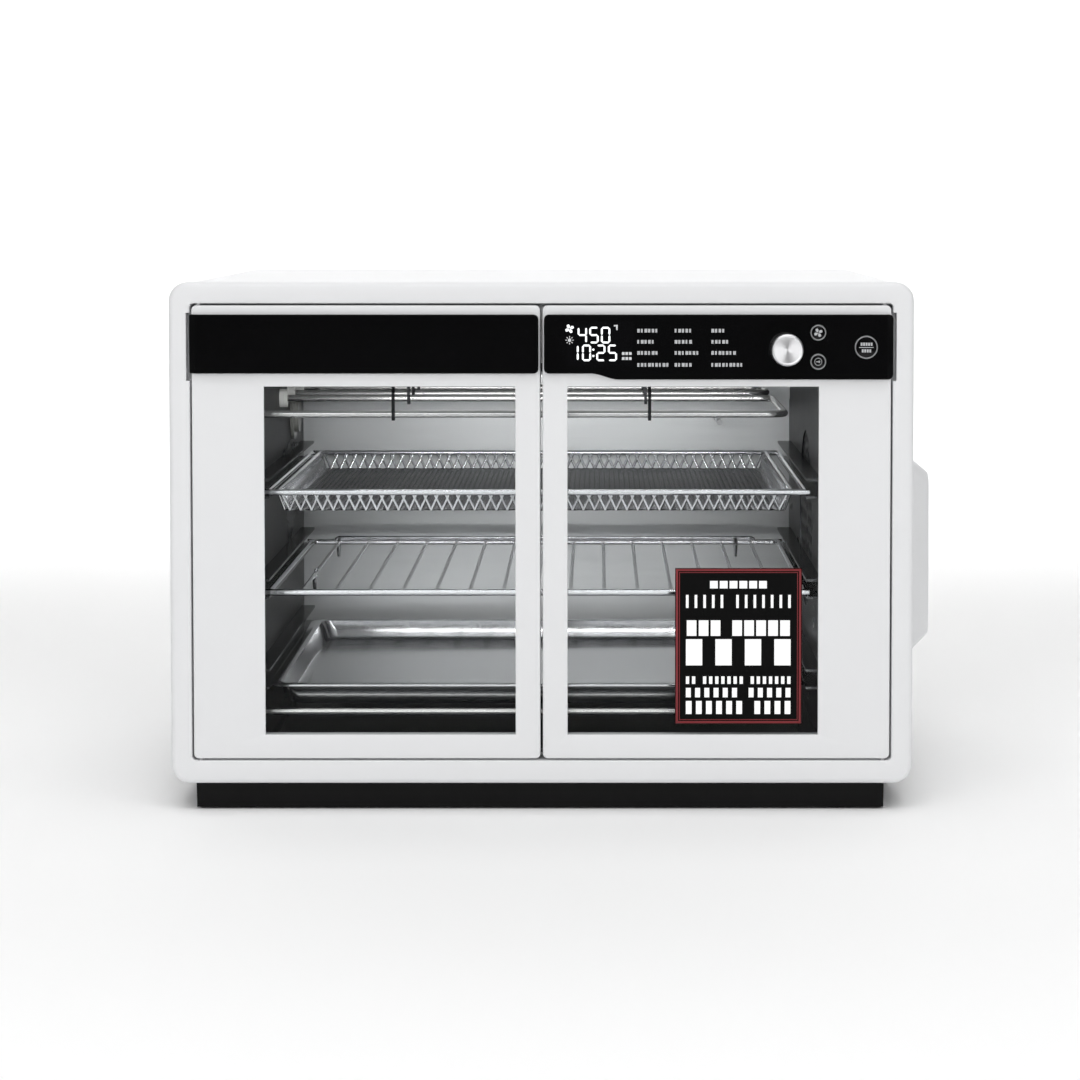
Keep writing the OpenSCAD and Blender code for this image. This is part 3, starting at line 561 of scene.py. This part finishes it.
x0, x1, z0, z1 = band_lo[0], band_hi[0], band_lo[2], band_hi[2]
step_z = z0 + 3.6 * MM
step_x0 = x0 + 28.4 * MM
step_x1 = x0 + 45 * MM
outline = arc(x1 - r, z1 - r, r, 0, 90) + arc(x0 + r, z1 - r, r, 90, 180) + arc(x0 + r, step_z + r, r, 180, 270)
for i in range(9):
    t = i / 8
    outline.append((step_x0 + (step_x1 - step_x0) * t, step_z - (step_z - z0) * (3 * t * t - 2 * t ** 3)))
outline += arc(x1 - r, z0 + r, r, 270, 360)
right_band = slab_from("right_band_moulding", outline, band_lo[1], face_y, gloss_black, 0.5 * MM)
bevel_end(right_band, band_hi[0], 1)

control_nodes = {"knob": 4.5 * MM, "fan_button": 5.3 * MM, "light_button": 5.3 * MM, "start_button": 7.5 * MM}


def middle(node):
    """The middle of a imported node."""
    lo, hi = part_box(node)
    return (Vector(lo) + Vector(hi)) / 2


holes = bmesh.new()
for name, hole_r in control_nodes.items():
    at = middle(name)
    turn = Matrix.Translation((at.x, face_y - 2 * MM, at.z)) @ Matrix.Rotation(math.radians(90), 4, "X")
    bmesh.ops.create_cone(holes, cap_ends=True, segments=64, radius1=hole_r, radius2=hole_r, depth=10 * MM,
                          matrix=turn)
cut_with(right_band, holes)
lens_lo, lens_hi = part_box("display_lens")
cut(right_band, ((lens_lo[0], lens_lo[1] - MM, lens_lo[2]), (lens_hi[0], face_y + MM, lens_hi[2])))
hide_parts("right_band")
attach(right_band, "right_door")

# ---- Display -----------------------------------------------------------------------
# White segments shine through a smoked lens that lies flush in the band: the
# heat on top, the time below, and small marks for the fan, the lamp and the units.

smoked_lens = surface("smoked_lens", (0.003, 0.003, 0.0035), 0.06, scale=40, vary=0.1, rough_vary=0.02,
                      Specular_IOR_Level=0.2)
dress(smoked_lens, "display_lens")


def glow(name, colour, strength):
    """A lit mark, or a printed mark whose emission is a painted glow."""
    material = bpy.data.materials.new(name)
    material.use_nodes = True
    shader = material.node_tree.nodes["Principled BSDF"]
    shader.inputs["Base Color"].default_value = (*colour, 1)
    shader.inputs["Roughness"].default_value = 0.4
    shader.inputs["Emission Color"].default_value = (*colour, 1)
    shader.inputs["Emission Strength"].default_value = strength
    return material


lit_white = glow("lit_white", (0.9, 0.92, 0.93), 0.75)
# The grey print on the band and buttons gives off a faint painted glow.
glowing_ink_grey = glow("glowing_ink_grey", (0.45, 0.46, 0.47), 0.08)
mark_y0 = band_lo[1] - 0.06 * MM
mark_y1 = band_lo[1]


def flat_marks(name, outlines, material, y0=mark_y0, y1=mark_y1):
    """Thin marks from X-Z outlines, in millimetres from the middle of the cabinet, as one piece."""
    middle_x = (frame_lo[0] + frame_hi[0]) / 2
    bm = bmesh.new()
    for outline in outlines:
        front = [bm.verts.new((middle_x + x * MM, y0, z * MM)) for x, z in outline]
        back = [bm.verts.new((middle_x + x * MM, y1, z * MM)) for x, z in outline]
        bm.faces.new(front)
        bm.faces.new(back)
        for i in range(len(front)):
            j = (i + 1) % len(front)
            bm.faces.new((front[i], front[j], back[j], back[i]))
    return finish_mesh(bm, name, material)


SEGMENTS = {"0": "abcdef", "1": "bc", "2": "abged", "4": "fgbc", "5": "afgcd"}


def digit(char, x, z, w, h, t):
    """Outlines of one seven-segment digit whose lower left corner is at x, z."""
    m = z + h / 2
    g = t * 0.12
    lines = {"a": (x, z + h, x + w, z + h), "g": (x, m, x + w, m), "d": (x, z, x + w, z),
             "f": (x, m, x, z + h), "b": (x + w, m, x + w, z + h), "e": (x, z, x, m), "c": (x + w, z, x + w, m)}
    shapes = []
    for key in SEGMENTS[char]:
        ax, az, bx, bz = lines[key]
        k = t / 2
        if az == bz:
            shapes.append([(ax + g, az), (ax + g + k, az - k), (bx - g - k, az - k), (bx - g, az),
                           (bx - g - k, az + k), (ax + g + k, az + k)])
        else:
            shapes.append([(ax, az + g), (ax + k, az + g + k), (ax + k, bz - g - k), (ax, bz - g),
                           (ax - k, bz - g - k), (ax - k, az + g + k)])
    return shapes


def bar(x, z, w, h):
    """Outline of a small bar."""
    return [(x, z), (x + w, z), (x + w, z + h), (x, z + h)]


def petals(x, z, size):
    """Outlines of a four-bladed fan mark."""
    shapes = []
    for k in range(4):
        a = math.radians(90 * k + 20)
        blade = ((0.08, 0.04), (0.5, 0.44), (1, 0.34), (1, -0.16), (0.55, -0.28))
        c, s = size * math.cos(a), size * math.sin(a)
        shapes.append([(x + u * c - v * s, z + u * s + v * c) for u, v in blade])
    return shapes


def dot(x, z, r, sides=16):
    """Outline of a round mark."""
    return [(x + r * math.cos(2 * math.pi * i / sides), z + r * math.sin(2 * math.pi * i / sides))
            for i in range(sides)]


def rays(x, z, r, count=8):
    """Outlines of a lamp mark: a dot with short rays."""
    shapes = [dot(x, z, r * 0.42)]
    for k in range(count):
        a = 2 * math.pi * k / count
        c, s = math.cos(a), math.sin(a)
        corners = ((0.62, -0.09), (1, -0.09), (1, 0.09), (0.62, 0.09))
        shapes.append([(x + r * (u * c - v * s), z + r * (u * s + v * c)) for u, v in corners])
    return shapes


heat_z, time_z = 284.8, 274.1
digit_h = 8.9
lit_shapes = []
for char, x in (("4", 22.5), ("5", 29.5), ("0", 36.5)):
    lit_shapes += digit(char, x, heat_z, 4.55, digit_h, 1.1)
for char, x in (("1", 17.6), ("0", 25.1), ("2", 33.7), ("5", 40.7)):
    lit_shapes += digit(char, x, time_z, 4.4, digit_h, 1.1)
lit_shapes += [dot(31.4, time_z + 2.6, 0.65), dot(31.4, time_z + 6.4, 0.65)]
lit_shapes += petals(17.1, 293.1, 2.6)
lit_marks = flat_marks("display_digits", lit_shapes, lit_white)
faint_white = glow("faint_white", (0.6, 0.61, 0.62), 0.1)
faint_shapes = rays(17.1, 286.2, 2.5)
faint_shapes += [bar(43.7, 294.5, 2.4, 0.9), bar(45.1, 292.3, 0.9, 2.2)]
for z in (274.3, 277.3):
    faint_shapes += [bar(48.6 + i * 2.1, z, 1.6, 1.7) for i in range(3)]
unit_marks = flat_marks("display_unit_marks", faint_shapes, faint_white)
for piece in (lit_marks, unit_marks):
    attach(piece, "right_door")

# ---- Printed marks -------------------------------------------------------------------
# Twelve preset names stand in three columns on the right band. They are printed
# here as rows of plain blocks, so that they read as print but spell nothing.

column_x = (57.8, 80.3, 102.4)
row_z = (291.9, 285.2, 278.5, 271.3)
block_counts = ((6, 5, 4), (5, 5, 5), (6, 7, 7), (9, 5, 9))
print_shapes = []
for row, z in enumerate(row_z):
    for column, x in enumerate(column_x):
        for i in range(block_counts[row][column]):
            w = (1.5, 1.1, 1.7, 1.3)[(i + row + column) % 4]
            print_shapes.append(bar(x + i * 2.18, z - 1.1, w, 2.2))
preset_marks = flat_marks("preset_marks", print_shapes, glowing_ink_grey)
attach(preset_marks, "right_door")

# ---- Buttons ---------------------------------------------------------------------------
# Three gloss black caps stand almost flush in the band. Each has a printed ring
# with its own mark inside: fan, lamp, and start.

cap_mm = {"fan_button": 5, "light_button": 5, "start_button": 7.2}
cabinet_x = (frame_lo[0] + frame_hi[0]) / 2


def ring(x, z, r0, r1, sides=48):
    """Outlines of a flat ring, as short wedges."""
    shapes = []
    for i in range(sides):
        a, b = 2 * math.pi * i / sides, 2 * math.pi * (i + 1) / sides
        shapes.append([(x + r0 * math.cos(a), z + r0 * math.sin(a)), (x + r1 * math.cos(a), z + r1 * math.sin(a)),
                       (x + r1 * math.cos(b), z + r1 * math.sin(b)), (x + r0 * math.cos(b), z + r0 * math.sin(b))])
    return shapes


for name, r_mm in cap_mm.items():
    cap_lo, cap_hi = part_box(name)
    at = middle(name)
    x, z = (at.x - cabinet_x) / MM, at.z / MM
    steps = ((0, 1), (0.3, 1), (0.36, 0.985), (0.4, 0.95))
    cap = loft(name + "_cap", [[(cabinet_x + u * MM, cap_hi[1], v * MM) for u, v in dot(x, z, r_mm, 64)]]
               + [[(cabinet_x + u * MM, band_lo[1] - out * MM, v * MM) for u, v in dot(x, z, r_mm * share, 64)]
                  for out, share in steps], gloss_black)
    shapes = ring(x, z, r_mm - 1, r_mm - 0.25)
    if name == "fan_button":
        shapes += petals(x, z, 2.6)
    elif name == "light_button":
        shapes += ring(x, z, 1.9, 2.4, 24) + [bar(x - 1.3, z - 0.25, 2.6, 0.5), bar(x + 0.3, z - 0.8, 0.5, 1.6)]
    else:
        shapes += [bar(x - 3.4 + i * 1.5, z + 0.9, 1.1, 1.9) for i in range(5)]
        shapes += [bar(x - 4.4, z - 0.3, 8.8, 0.4)]
        shapes += [bar(x - 2.7 + i * 1.5, z - 3.1, 1.1, 1.9) for i in range(4)]
    cap_face = cap_lo[1]
    marks = flat_marks(name + "_marks", shapes, glowing_ink_grey, cap_face - 0.05 * MM, cap_face + 0.02 * MM)
    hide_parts(name)
    for piece in (cap, marks):
        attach(piece, name)

# ---- Knob --------------------------------------------------------------------------------
# A turned aluminium knob with a fine lathe-cut face, which throws light in a
# bow-tie, on the encoder's shaft.

knob_metal = bpy.data.materials.new("knob_metal")
knob_metal.use_nodes = True
knob_tree = knob_metal.node_tree
knob_shader = knob_tree.nodes["Principled BSDF"]
knob_shader.inputs["Base Color"].default_value = (0.80, 0.80, 0.81, 1)
knob_shader.inputs["Metallic"].default_value = 1
knob_shader.inputs["Roughness"].default_value = 0.32
knob_shader.inputs["Anisotropic"].default_value = 0.85
knob_at = middle("knob")
knob_place = knob_tree.nodes.new("ShaderNodeTexCoord")
knob_centre = knob_tree.nodes.new("ShaderNodeMapping")
knob_centre.inputs["Location"].default_value = [-c for c in knob_at]
knob_cross = knob_tree.nodes.new("ShaderNodeVectorMath")
knob_cross.operation = "CROSS_PRODUCT"
knob_cross.inputs[1].default_value = (0, 1, 0)
knob_tree.links.new(knob_place.outputs["Object"], knob_centre.inputs["Vector"])
knob_tree.links.new(knob_centre.outputs["Vector"], knob_cross.inputs[0])
knob_tree.links.new(knob_cross.outputs["Vector"], knob_shader.inputs["Tangent"])

knob_lo, knob_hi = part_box("knob")
knob_r = (knob_hi[0] - knob_lo[0]) / 2
knob_front, knob_back = knob_lo[1], knob_hi[1]
knob_profile = ((0.90, 0, "back"), (0.97, 0.3, "back"), (0.97, 2.2, "back"), (1, 2.6, "back"), (1, 2.2, "front"),
                (0.985, 1.2, "front"), (0.94, 0.35, "front"), (0.90, 0.05, "front"), (0.86, 0.25, "front"),
                (0.8, 0.3, "front"), (0.4, 0.32, "front"), (0.04, 0.33, "front"))
knob_loops = []
for share, step, end in knob_profile:
    y = knob_back - step * MM if end == "back" else knob_front + step * MM
    knob_loops.append([(knob_at.x + u, y, knob_at.z + v) for u, v in dot(0, 0, knob_r * share, 96)])
knob = loft("knob_body", knob_loops, knob_metal)
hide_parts("knob")
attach(knob, "knob")

# ---- Wire rack ---------------------------------------------------------------------------
# Chrome-plated steel wires, butt-welded to a rectangular frame, with a raised
# bar along the back and V-shaped stops that keep it level when pulled out.

def wire_tree(name):
    """Round wire along every edge path of a mesh."""
    tree, start, end = new_tree(name, [("Radius", "NodeSocketFloat"), ("Sides", "NodeSocketInt"),
                                       ("Finish", "NodeSocketMaterial")])
    curve = tree.nodes.new("GeometryNodeMeshToCurve")
    circle = tree.nodes.new("GeometryNodeCurvePrimitiveCircle")
    tube = tree.nodes.new("GeometryNodeCurveToMesh")
    tube.inputs["Fill Caps"].default_value = True
    smooth = tree.nodes.new("GeometryNodeSetShadeSmooth")
    real = tree.nodes.new("GeometryNodeRealizeInstances")
    paint = tree.nodes.new("GeometryNodeSetMaterial")
    link = tree.links.new
    link(start.outputs["Geometry"], curve.inputs["Mesh"])
    link(start.outputs["Radius"], circle.inputs["Radius"])
    link(start.outputs["Sides"], circle.inputs["Resolution"])
    link(curve.outputs["Curve"], tube.inputs["Curve"])
    link(circle.outputs["Curve"], tube.inputs["Profile Curve"])
    link(tube.outputs["Mesh"], smooth.inputs["Geometry"])
    link(smooth.outputs["Geometry"], real.inputs["Geometry"])
    link(real.outputs["Geometry"], paint.inputs["Geometry"])
    link(start.outputs["Finish"], paint.inputs["Material"])
    link(paint.outputs["Geometry"], end.inputs["Geometry"])
    return tree


wire_along = wire_tree("wire_along")


def wires(name, paths, radius, sides, material):
    """One mesh of round wires from paths, each an open row of points or a closed one that ends on its start."""
    points, edges = [], []
    for path in paths:
        closed = path[0] == path[-1]
        row = path[:-1] if closed else path
        first = len(points)
        points += row
        edges += [(first + i, first + i + 1) for i in range(len(row) - 1)]
        if closed:
            edges.append((first + len(row) - 1, first))
    mesh = bpy.data.meshes.new(name)
    mesh.from_pydata(points, edges, [])
    piece = bpy.data.objects.new(name, mesh)
    bpy.context.collection.objects.link(piece)
    return grow(piece, wire_along, Radius=radius, Sides=sides, Finish=material)


def join(name, pieces):
    """One piece from several."""
    with bpy.context.temp_override(active_object=pieces[0], selected_editable_objects=pieces):
        bpy.ops.object.join()
    pieces[0].name = name
    return pieces[0]


chrome_wire = surface("chrome_wire", (0.72, 0.72, 0.74), 0.13, scale=200, vary=0.05, rough_vary=0.04, Metallic=1)
rack_lo, rack_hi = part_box("wire_rack")
wire_r = 2 * MM
rack_z = rack_hi[2] - 7.7 * MM
rack_x0, rack_x1 = rack_lo[0] + 2.6 * MM, rack_hi[0] - 2.6 * MM
rack_y0, rack_y1 = rack_lo[1] + wire_r, rack_hi[1] - wire_r
rack_wires = 15
rise = 3.2 * MM
post = 18 * MM


def around(x0, y0, x1, y1, r, z, steps=6):
    """A closed level path with round corners."""
    path = rounded_loop(x0, y0, x1, y1, r, z, "XY", steps)
    return path + path[:1]


thick = [around(rack_x0, rack_y0, rack_x1, rack_y1, 6 * MM, rack_z)]
for y in (rack_y0, rack_y1):
    for x, end in ((rack_x0 + 5 * MM, rack_lo[0] + 0.4 * MM), (rack_x1 - 5 * MM, rack_hi[0] - 0.4 * MM)):
        thick.append([(x, y, rack_z), (end, y, rack_z)])
pitch = (rack_x1 - rack_x0) / (rack_wires + 1)
thin = []
for i in range(1, rack_wires + 1):
    x = rack_x0 + i * pitch
    thin.append([(x, rack_y0, rack_z + 0.6 * MM), (x, rack_y1 - 1 * MM, rack_z + 0.6 * MM)])
bar_ends = (rack_x0 + post, rack_x1 - post)
thin.append([(bar_ends[0], rack_y1, rack_z), (bar_ends[0], rack_y1, rack_z + rise * 0.7),
             (bar_ends[0] + 2 * MM, rack_y1, rack_z + rise), (bar_ends[1] - 2 * MM, rack_y1, rack_z + rise),
             (bar_ends[1], rack_y1, rack_z + rise * 0.7), (bar_ends[1], rack_y1, rack_z)])
stop_reach = 9 * MM
stop_tip = 1.2 * MM
stop_drop = 8 * MM
stops = []
for x in (rack_x0 + pitch, rack_x1 - 1.5 * pitch):
    for y in (rack_y1 - stop_reach - wire_r, rack_y0 + 88 * MM):
        stops.append([(x, y - stop_reach, rack_z + 0.6 * MM), (x, y - stop_tip, rack_z - stop_drop),
                      (x, y, rack_z - stop_drop - 0.8 * MM), (x, y + stop_tip, rack_z - stop_drop),
                      (x, y + stop_reach, rack_z + 2.5 * MM)])
rack = join("chrome_rack", [wires("rack_frame", thick, wire_r, 12, chrome_wire),
                            wires("rack_wires", thin, 1.2 * MM, 10, chrome_wire),
                            wires("rack_stops", stops, 1.15 * MM, 8, chrome_wire)])
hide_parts("wire_rack")
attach(rack, "wire_rack")

# ---- Air-fry basket --------------------------------------------------------------------------
# Expanded steel mesh pressed into a shallow tray, rolled over a rim wire whose
# ends rest in the side channels.

# The floor strands take a darker copy of the basket's steel than its walls: painted shade on the basket floor.
shaded_mesh_steel = surface("shaded_mesh_steel", (0.34, 0.34, 0.35), 0.22, scale=200, vary=0.08, rough_vary=0.05, Metallic=1)
basket_lo, basket_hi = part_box("air_fry_basket")
rim_z = basket_hi[2] - wire_r
basket_y0, basket_y1 = basket_lo[1] + wire_r, basket_hi[1] - wire_r
mesh_in = 9 * MM
mesh_x0, mesh_x1 = basket_lo[0] + mesh_in, basket_hi[0] - mesh_in - 3 * MM
slope = 3.5 * MM
mesh_floor = basket_lo[2] + 0.9 * MM
diamond = 6.7 * MM
foot_box = (mesh_x0 + slope, basket_y0 + slope, mesh_x1 - slope, basket_y1 - slope)
cells_x = round((foot_box[2] - foot_box[0]) / diamond)
cells_y = round((foot_box[3] - foot_box[1]) / diamond)
cell_x = (foot_box[2] - foot_box[0]) / cells_x
cell_y = (foot_box[3] - foot_box[1]) / cells_y


def on_floor(u, v):
    """A point of the mesh floor, counted in cells from its front left corner."""
    return (foot_box[0] + u * cell_x, foot_box[1] + v * cell_y, mesh_floor)


def mesh_strands():
    """Two sets of slanting strands over the mesh floor, which end half a cell off its corners."""
    strands = []
    for i in range(cells_x + cells_y):
        u = i + 0.5
        first = (u, 0) if u <= cells_x else (cells_x, u - cells_x)
        last = (0, u) if u <= cells_y else (u - cells_y, cells_y)
        strands.append([on_floor(*first), on_floor(*last)])
        strands.append([on_floor(cells_x - first[0], first[1]), on_floor(cells_x - last[0], last[1])])
    return strands


def wall_strands():
    """Strands that cross each other on their way up the four sloping walls."""
    strands = []
    for i in range(cells_x):
        for v, out in ((0, -slope), (cells_y, slope)):
            x, y, z = on_floor(i + 0.5, v)
            for lean in (-0.75 * cell_x, 0.75 * cell_x):
                strands.append([(x, y, z), (min(max(x + lean, mesh_x0), mesh_x1), y + out, rim_z)])
    for i in range(cells_y):
        for u, out in ((0, -slope), (cells_x, slope)):
            x, y, z = on_floor(u, i + 0.5)
            for lean in (-0.75 * cell_y, 0.75 * cell_y):
                strands.append([(x, y, z), (x + out, min(max(y + lean, basket_y0), basket_y1), rim_z)])
    return strands


rims = [around(mesh_x0 - 1 * MM, basket_y0, mesh_x1 + 1 * MM, basket_y1, 5 * MM, rim_z)]
rests = []
for y in (basket_y0, basket_y1):
    rests.append([(basket_lo[0] + 1 * MM, y, rim_z), (basket_hi[0] - 1 * MM, y, rim_z)])
for x in (basket_lo[0] + wire_r, basket_hi[0] - wire_r):
    rests.append([(x, basket_y0, rim_z), (x, basket_y1, rim_z)])
basket = join("mesh_basket", [wires("basket_rim", rims, 1.5 * MM, 10, chrome_wire),
                              wires("basket_rests", rests, 1.9 * MM, 12, chrome_wire),
                              wires("basket_strands", mesh_strands(), 0.7 * MM, 5, shaded_mesh_steel),
                              wires("basket_walls", wall_strands(), 1 * MM, 6, chrome_wire)])
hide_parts("air_fry_basket")
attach(basket, "air_fry_basket")

# ---- Baking tray and crumb tray -------------------------------------------------------------------
# The baking tray is drawn from one bright sheet with sloping walls and a flat
# rolled rim. The crumb tray is a plain folded sheet that lies on the floor.

tray_sheet = surface("tray_sheet", (0.52, 0.52, 0.53), 0.13, scale=22, stretch=(1, 0.12, 1), vary=0.1,
                     rough_vary=0.05, bump=0.02, Metallic=1)
# The crumb tray's near-black colour is painted shade under the baking tray.
shaded_crumb_sheet = surface("shaded_crumb_sheet", (0.07, 0.07, 0.072), 0.3, scale=12, vary=0.1, rough_vary=0.08, Metallic=1)
dress(shaded_crumb_sheet, "crumb_tray")


def tray_loops(lo, hi, rim, deep, wall_slope, t):
    """Loops of a pressed tray: rim edge, rim, wall and floor outside, then the same back inside."""
    def at(inset, z, r):
        return rounded_loop(lo[0] + inset, lo[1] + inset, hi[0] - inset, hi[1] - inset, r, z, "XY")
    top = hi[2]
    r = 14 * MM
    outside = [at(0.6 * MM, top - 2.2 * MM, r), at(0, top - 1.6 * MM, r), at(0, top - 0.7 * MM, r)]
    inside = [at(0.4 * MM, top - 0.15 * MM, r), at(1.2 * MM, top, r), at(rim - 1.6 * MM, top, r - 6 * MM),
              at(rim - 0.4 * MM, top - 0.5 * MM, r - 6 * MM)]
    bend = 3 * MM
    foot = rim + wall_slope + bend
    for i in range(1, 5):
        a = math.radians(90 * i / 4)
        inside.append(at(foot - bend * math.cos(a), top - deep + bend * (1 - math.sin(a)), r - 5 * MM))
    outer_floor = at(foot, top - deep - t, r - 5 * MM)
    outer_wall = at(rim + wall_slope - t, top - deep + 2.4 * MM, r - 4 * MM)
    outer_neck = at(rim - t * 1.5, top - 1.2 * MM, r - 5 * MM)
    under_rim = at(1.5 * MM, top - 1 * MM, r)
    return outside + inside, [outer_floor, outer_wall, outer_neck, under_rim]


def pressed_tray(name, node, rim, wall_slope, t, material):
    """A thin pressed tray as one closed skin."""
    lo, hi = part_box(node)
    deep = hi[2] - lo[2] - t
    top_side, under_side = tray_loops(lo, hi, rim, deep, wall_slope, t)
    bm = bmesh.new()
    rings = [[bm.verts.new(p) for p in loop] for loop in top_side]
    lower = [[bm.verts.new(p) for p in loop] for loop in under_side]
    count = len(rings[0])

    def bridge(a, b):
        for i in range(count):
            bm.faces.new((a[i], a[(i + 1) % count], b[(i + 1) % count], b[i]))
    for a, b in zip(rings, rings[1:]):
        bridge(a, b)
    for a, b in zip(lower, lower[1:]):
        bridge(a, b)
    bridge(lower[-1], rings[0])
    bm.faces.new(rings[-1])
    bm.faces.new(lower[0])
    return finish_mesh(bm, name, material, sharp=50)


bake_tray = pressed_tray("pressed_bake_tray", "bake_tray", 8 * MM, 2 * MM, 0.9 * MM, tray_sheet)
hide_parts("bake_tray")
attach(bake_tray, "bake_tray")

# ---- Window label -----------------------------------------------------------------------------------
# A thin black film with a red keyline clings to the outside of the right pane.
# Its print is plain blocks and bars that spell nothing.

film_black = surface("film_black", (0.004, 0.004, 0.004), 0.4, scale=500, bump=0.02, Specular_IOR_Level=0.05)
film_red = glow("film_red", (0.20, 0.008, 0.012), 0)
# The label's white print gives off a painted glow.
glowing_film_white = glow("glowing_film_white", (0.88, 0.88, 0.88), 0.25)
label_x0, label_x1, label_z0, label_z1 = 80.9, 157.8, 52.7, 147.8
glass_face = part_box("right_glass")[0][1]
film_back, film_front = glass_face, glass_face - 0.15 * MM
film = flat_marks("window_label_film", [bar(label_x0, label_z0, label_x1 - label_x0, label_z1 - label_z0)],
                  film_black, film_front, film_back)
frame_bars = []
for inset, w in ((0.5, 1.3), (2.5, 0.4)):
    x0, x1, z0, z1 = label_x0 + inset, label_x1 - inset, label_z0 + inset, label_z1 - inset
    frame_bars += [bar(x0, z0, x1 - x0, w), bar(x0, z1 - w, x1 - x0, w),
                   bar(x0, z0 + w, w, z1 - z0 - 2 * w), bar(x1 - w, z0 + w, w, z1 - z0 - 2 * w)]
keyline = flat_marks("window_label_keyline", frame_bars, film_red, film_front - 0.05 * MM, film_front)


def print_row(x0, x1, z, h, width, gap, words):
    """A row of plain upright blocks from x0 to x1, with a wider space after each count in words."""
    count = sum(words)
    space = (width + gap) * 0.8
    fit = (x1 - x0) / (count * (width + gap) - gap + (len(words) - 1) * space)
    shapes = []
    x = x0
    for word in words:
        for i in range(word):
            shapes.append(bar(x, z, width * fit, h))
            x += (width + gap) * fit
        x += space * fit
    return shapes


label_rows = ((102, 136.5, 135.4, 4.6, 4, 1, (6,)), (87.5, 151, 123.5, 8, 1.3, 3, (5, 7)),
              (88, 150.5, 106.5, 9.5, 6, 1.4, (3, 5)), (87.5, 151, 88.5, 16, 5, 4, (4,)),
              (87.5, 151, 77.2, 4.6, 2.4, 2, (2, 7, 7)), (87.5, 151, 69, 5.8, 2.6, 2.2, (6, 5)),
              (87.5, 151, 58.8, 8, 3, 2.2, (6, 4)))
print_shapes = []
for row in label_rows:
    print_shapes += print_row(*row)
label_print = flat_marks("window_label_print", print_shapes, glowing_film_white, film_front - 0.06 * MM, film_front)
for piece in (film, keyline, label_print):
    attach(piece, "right_door")
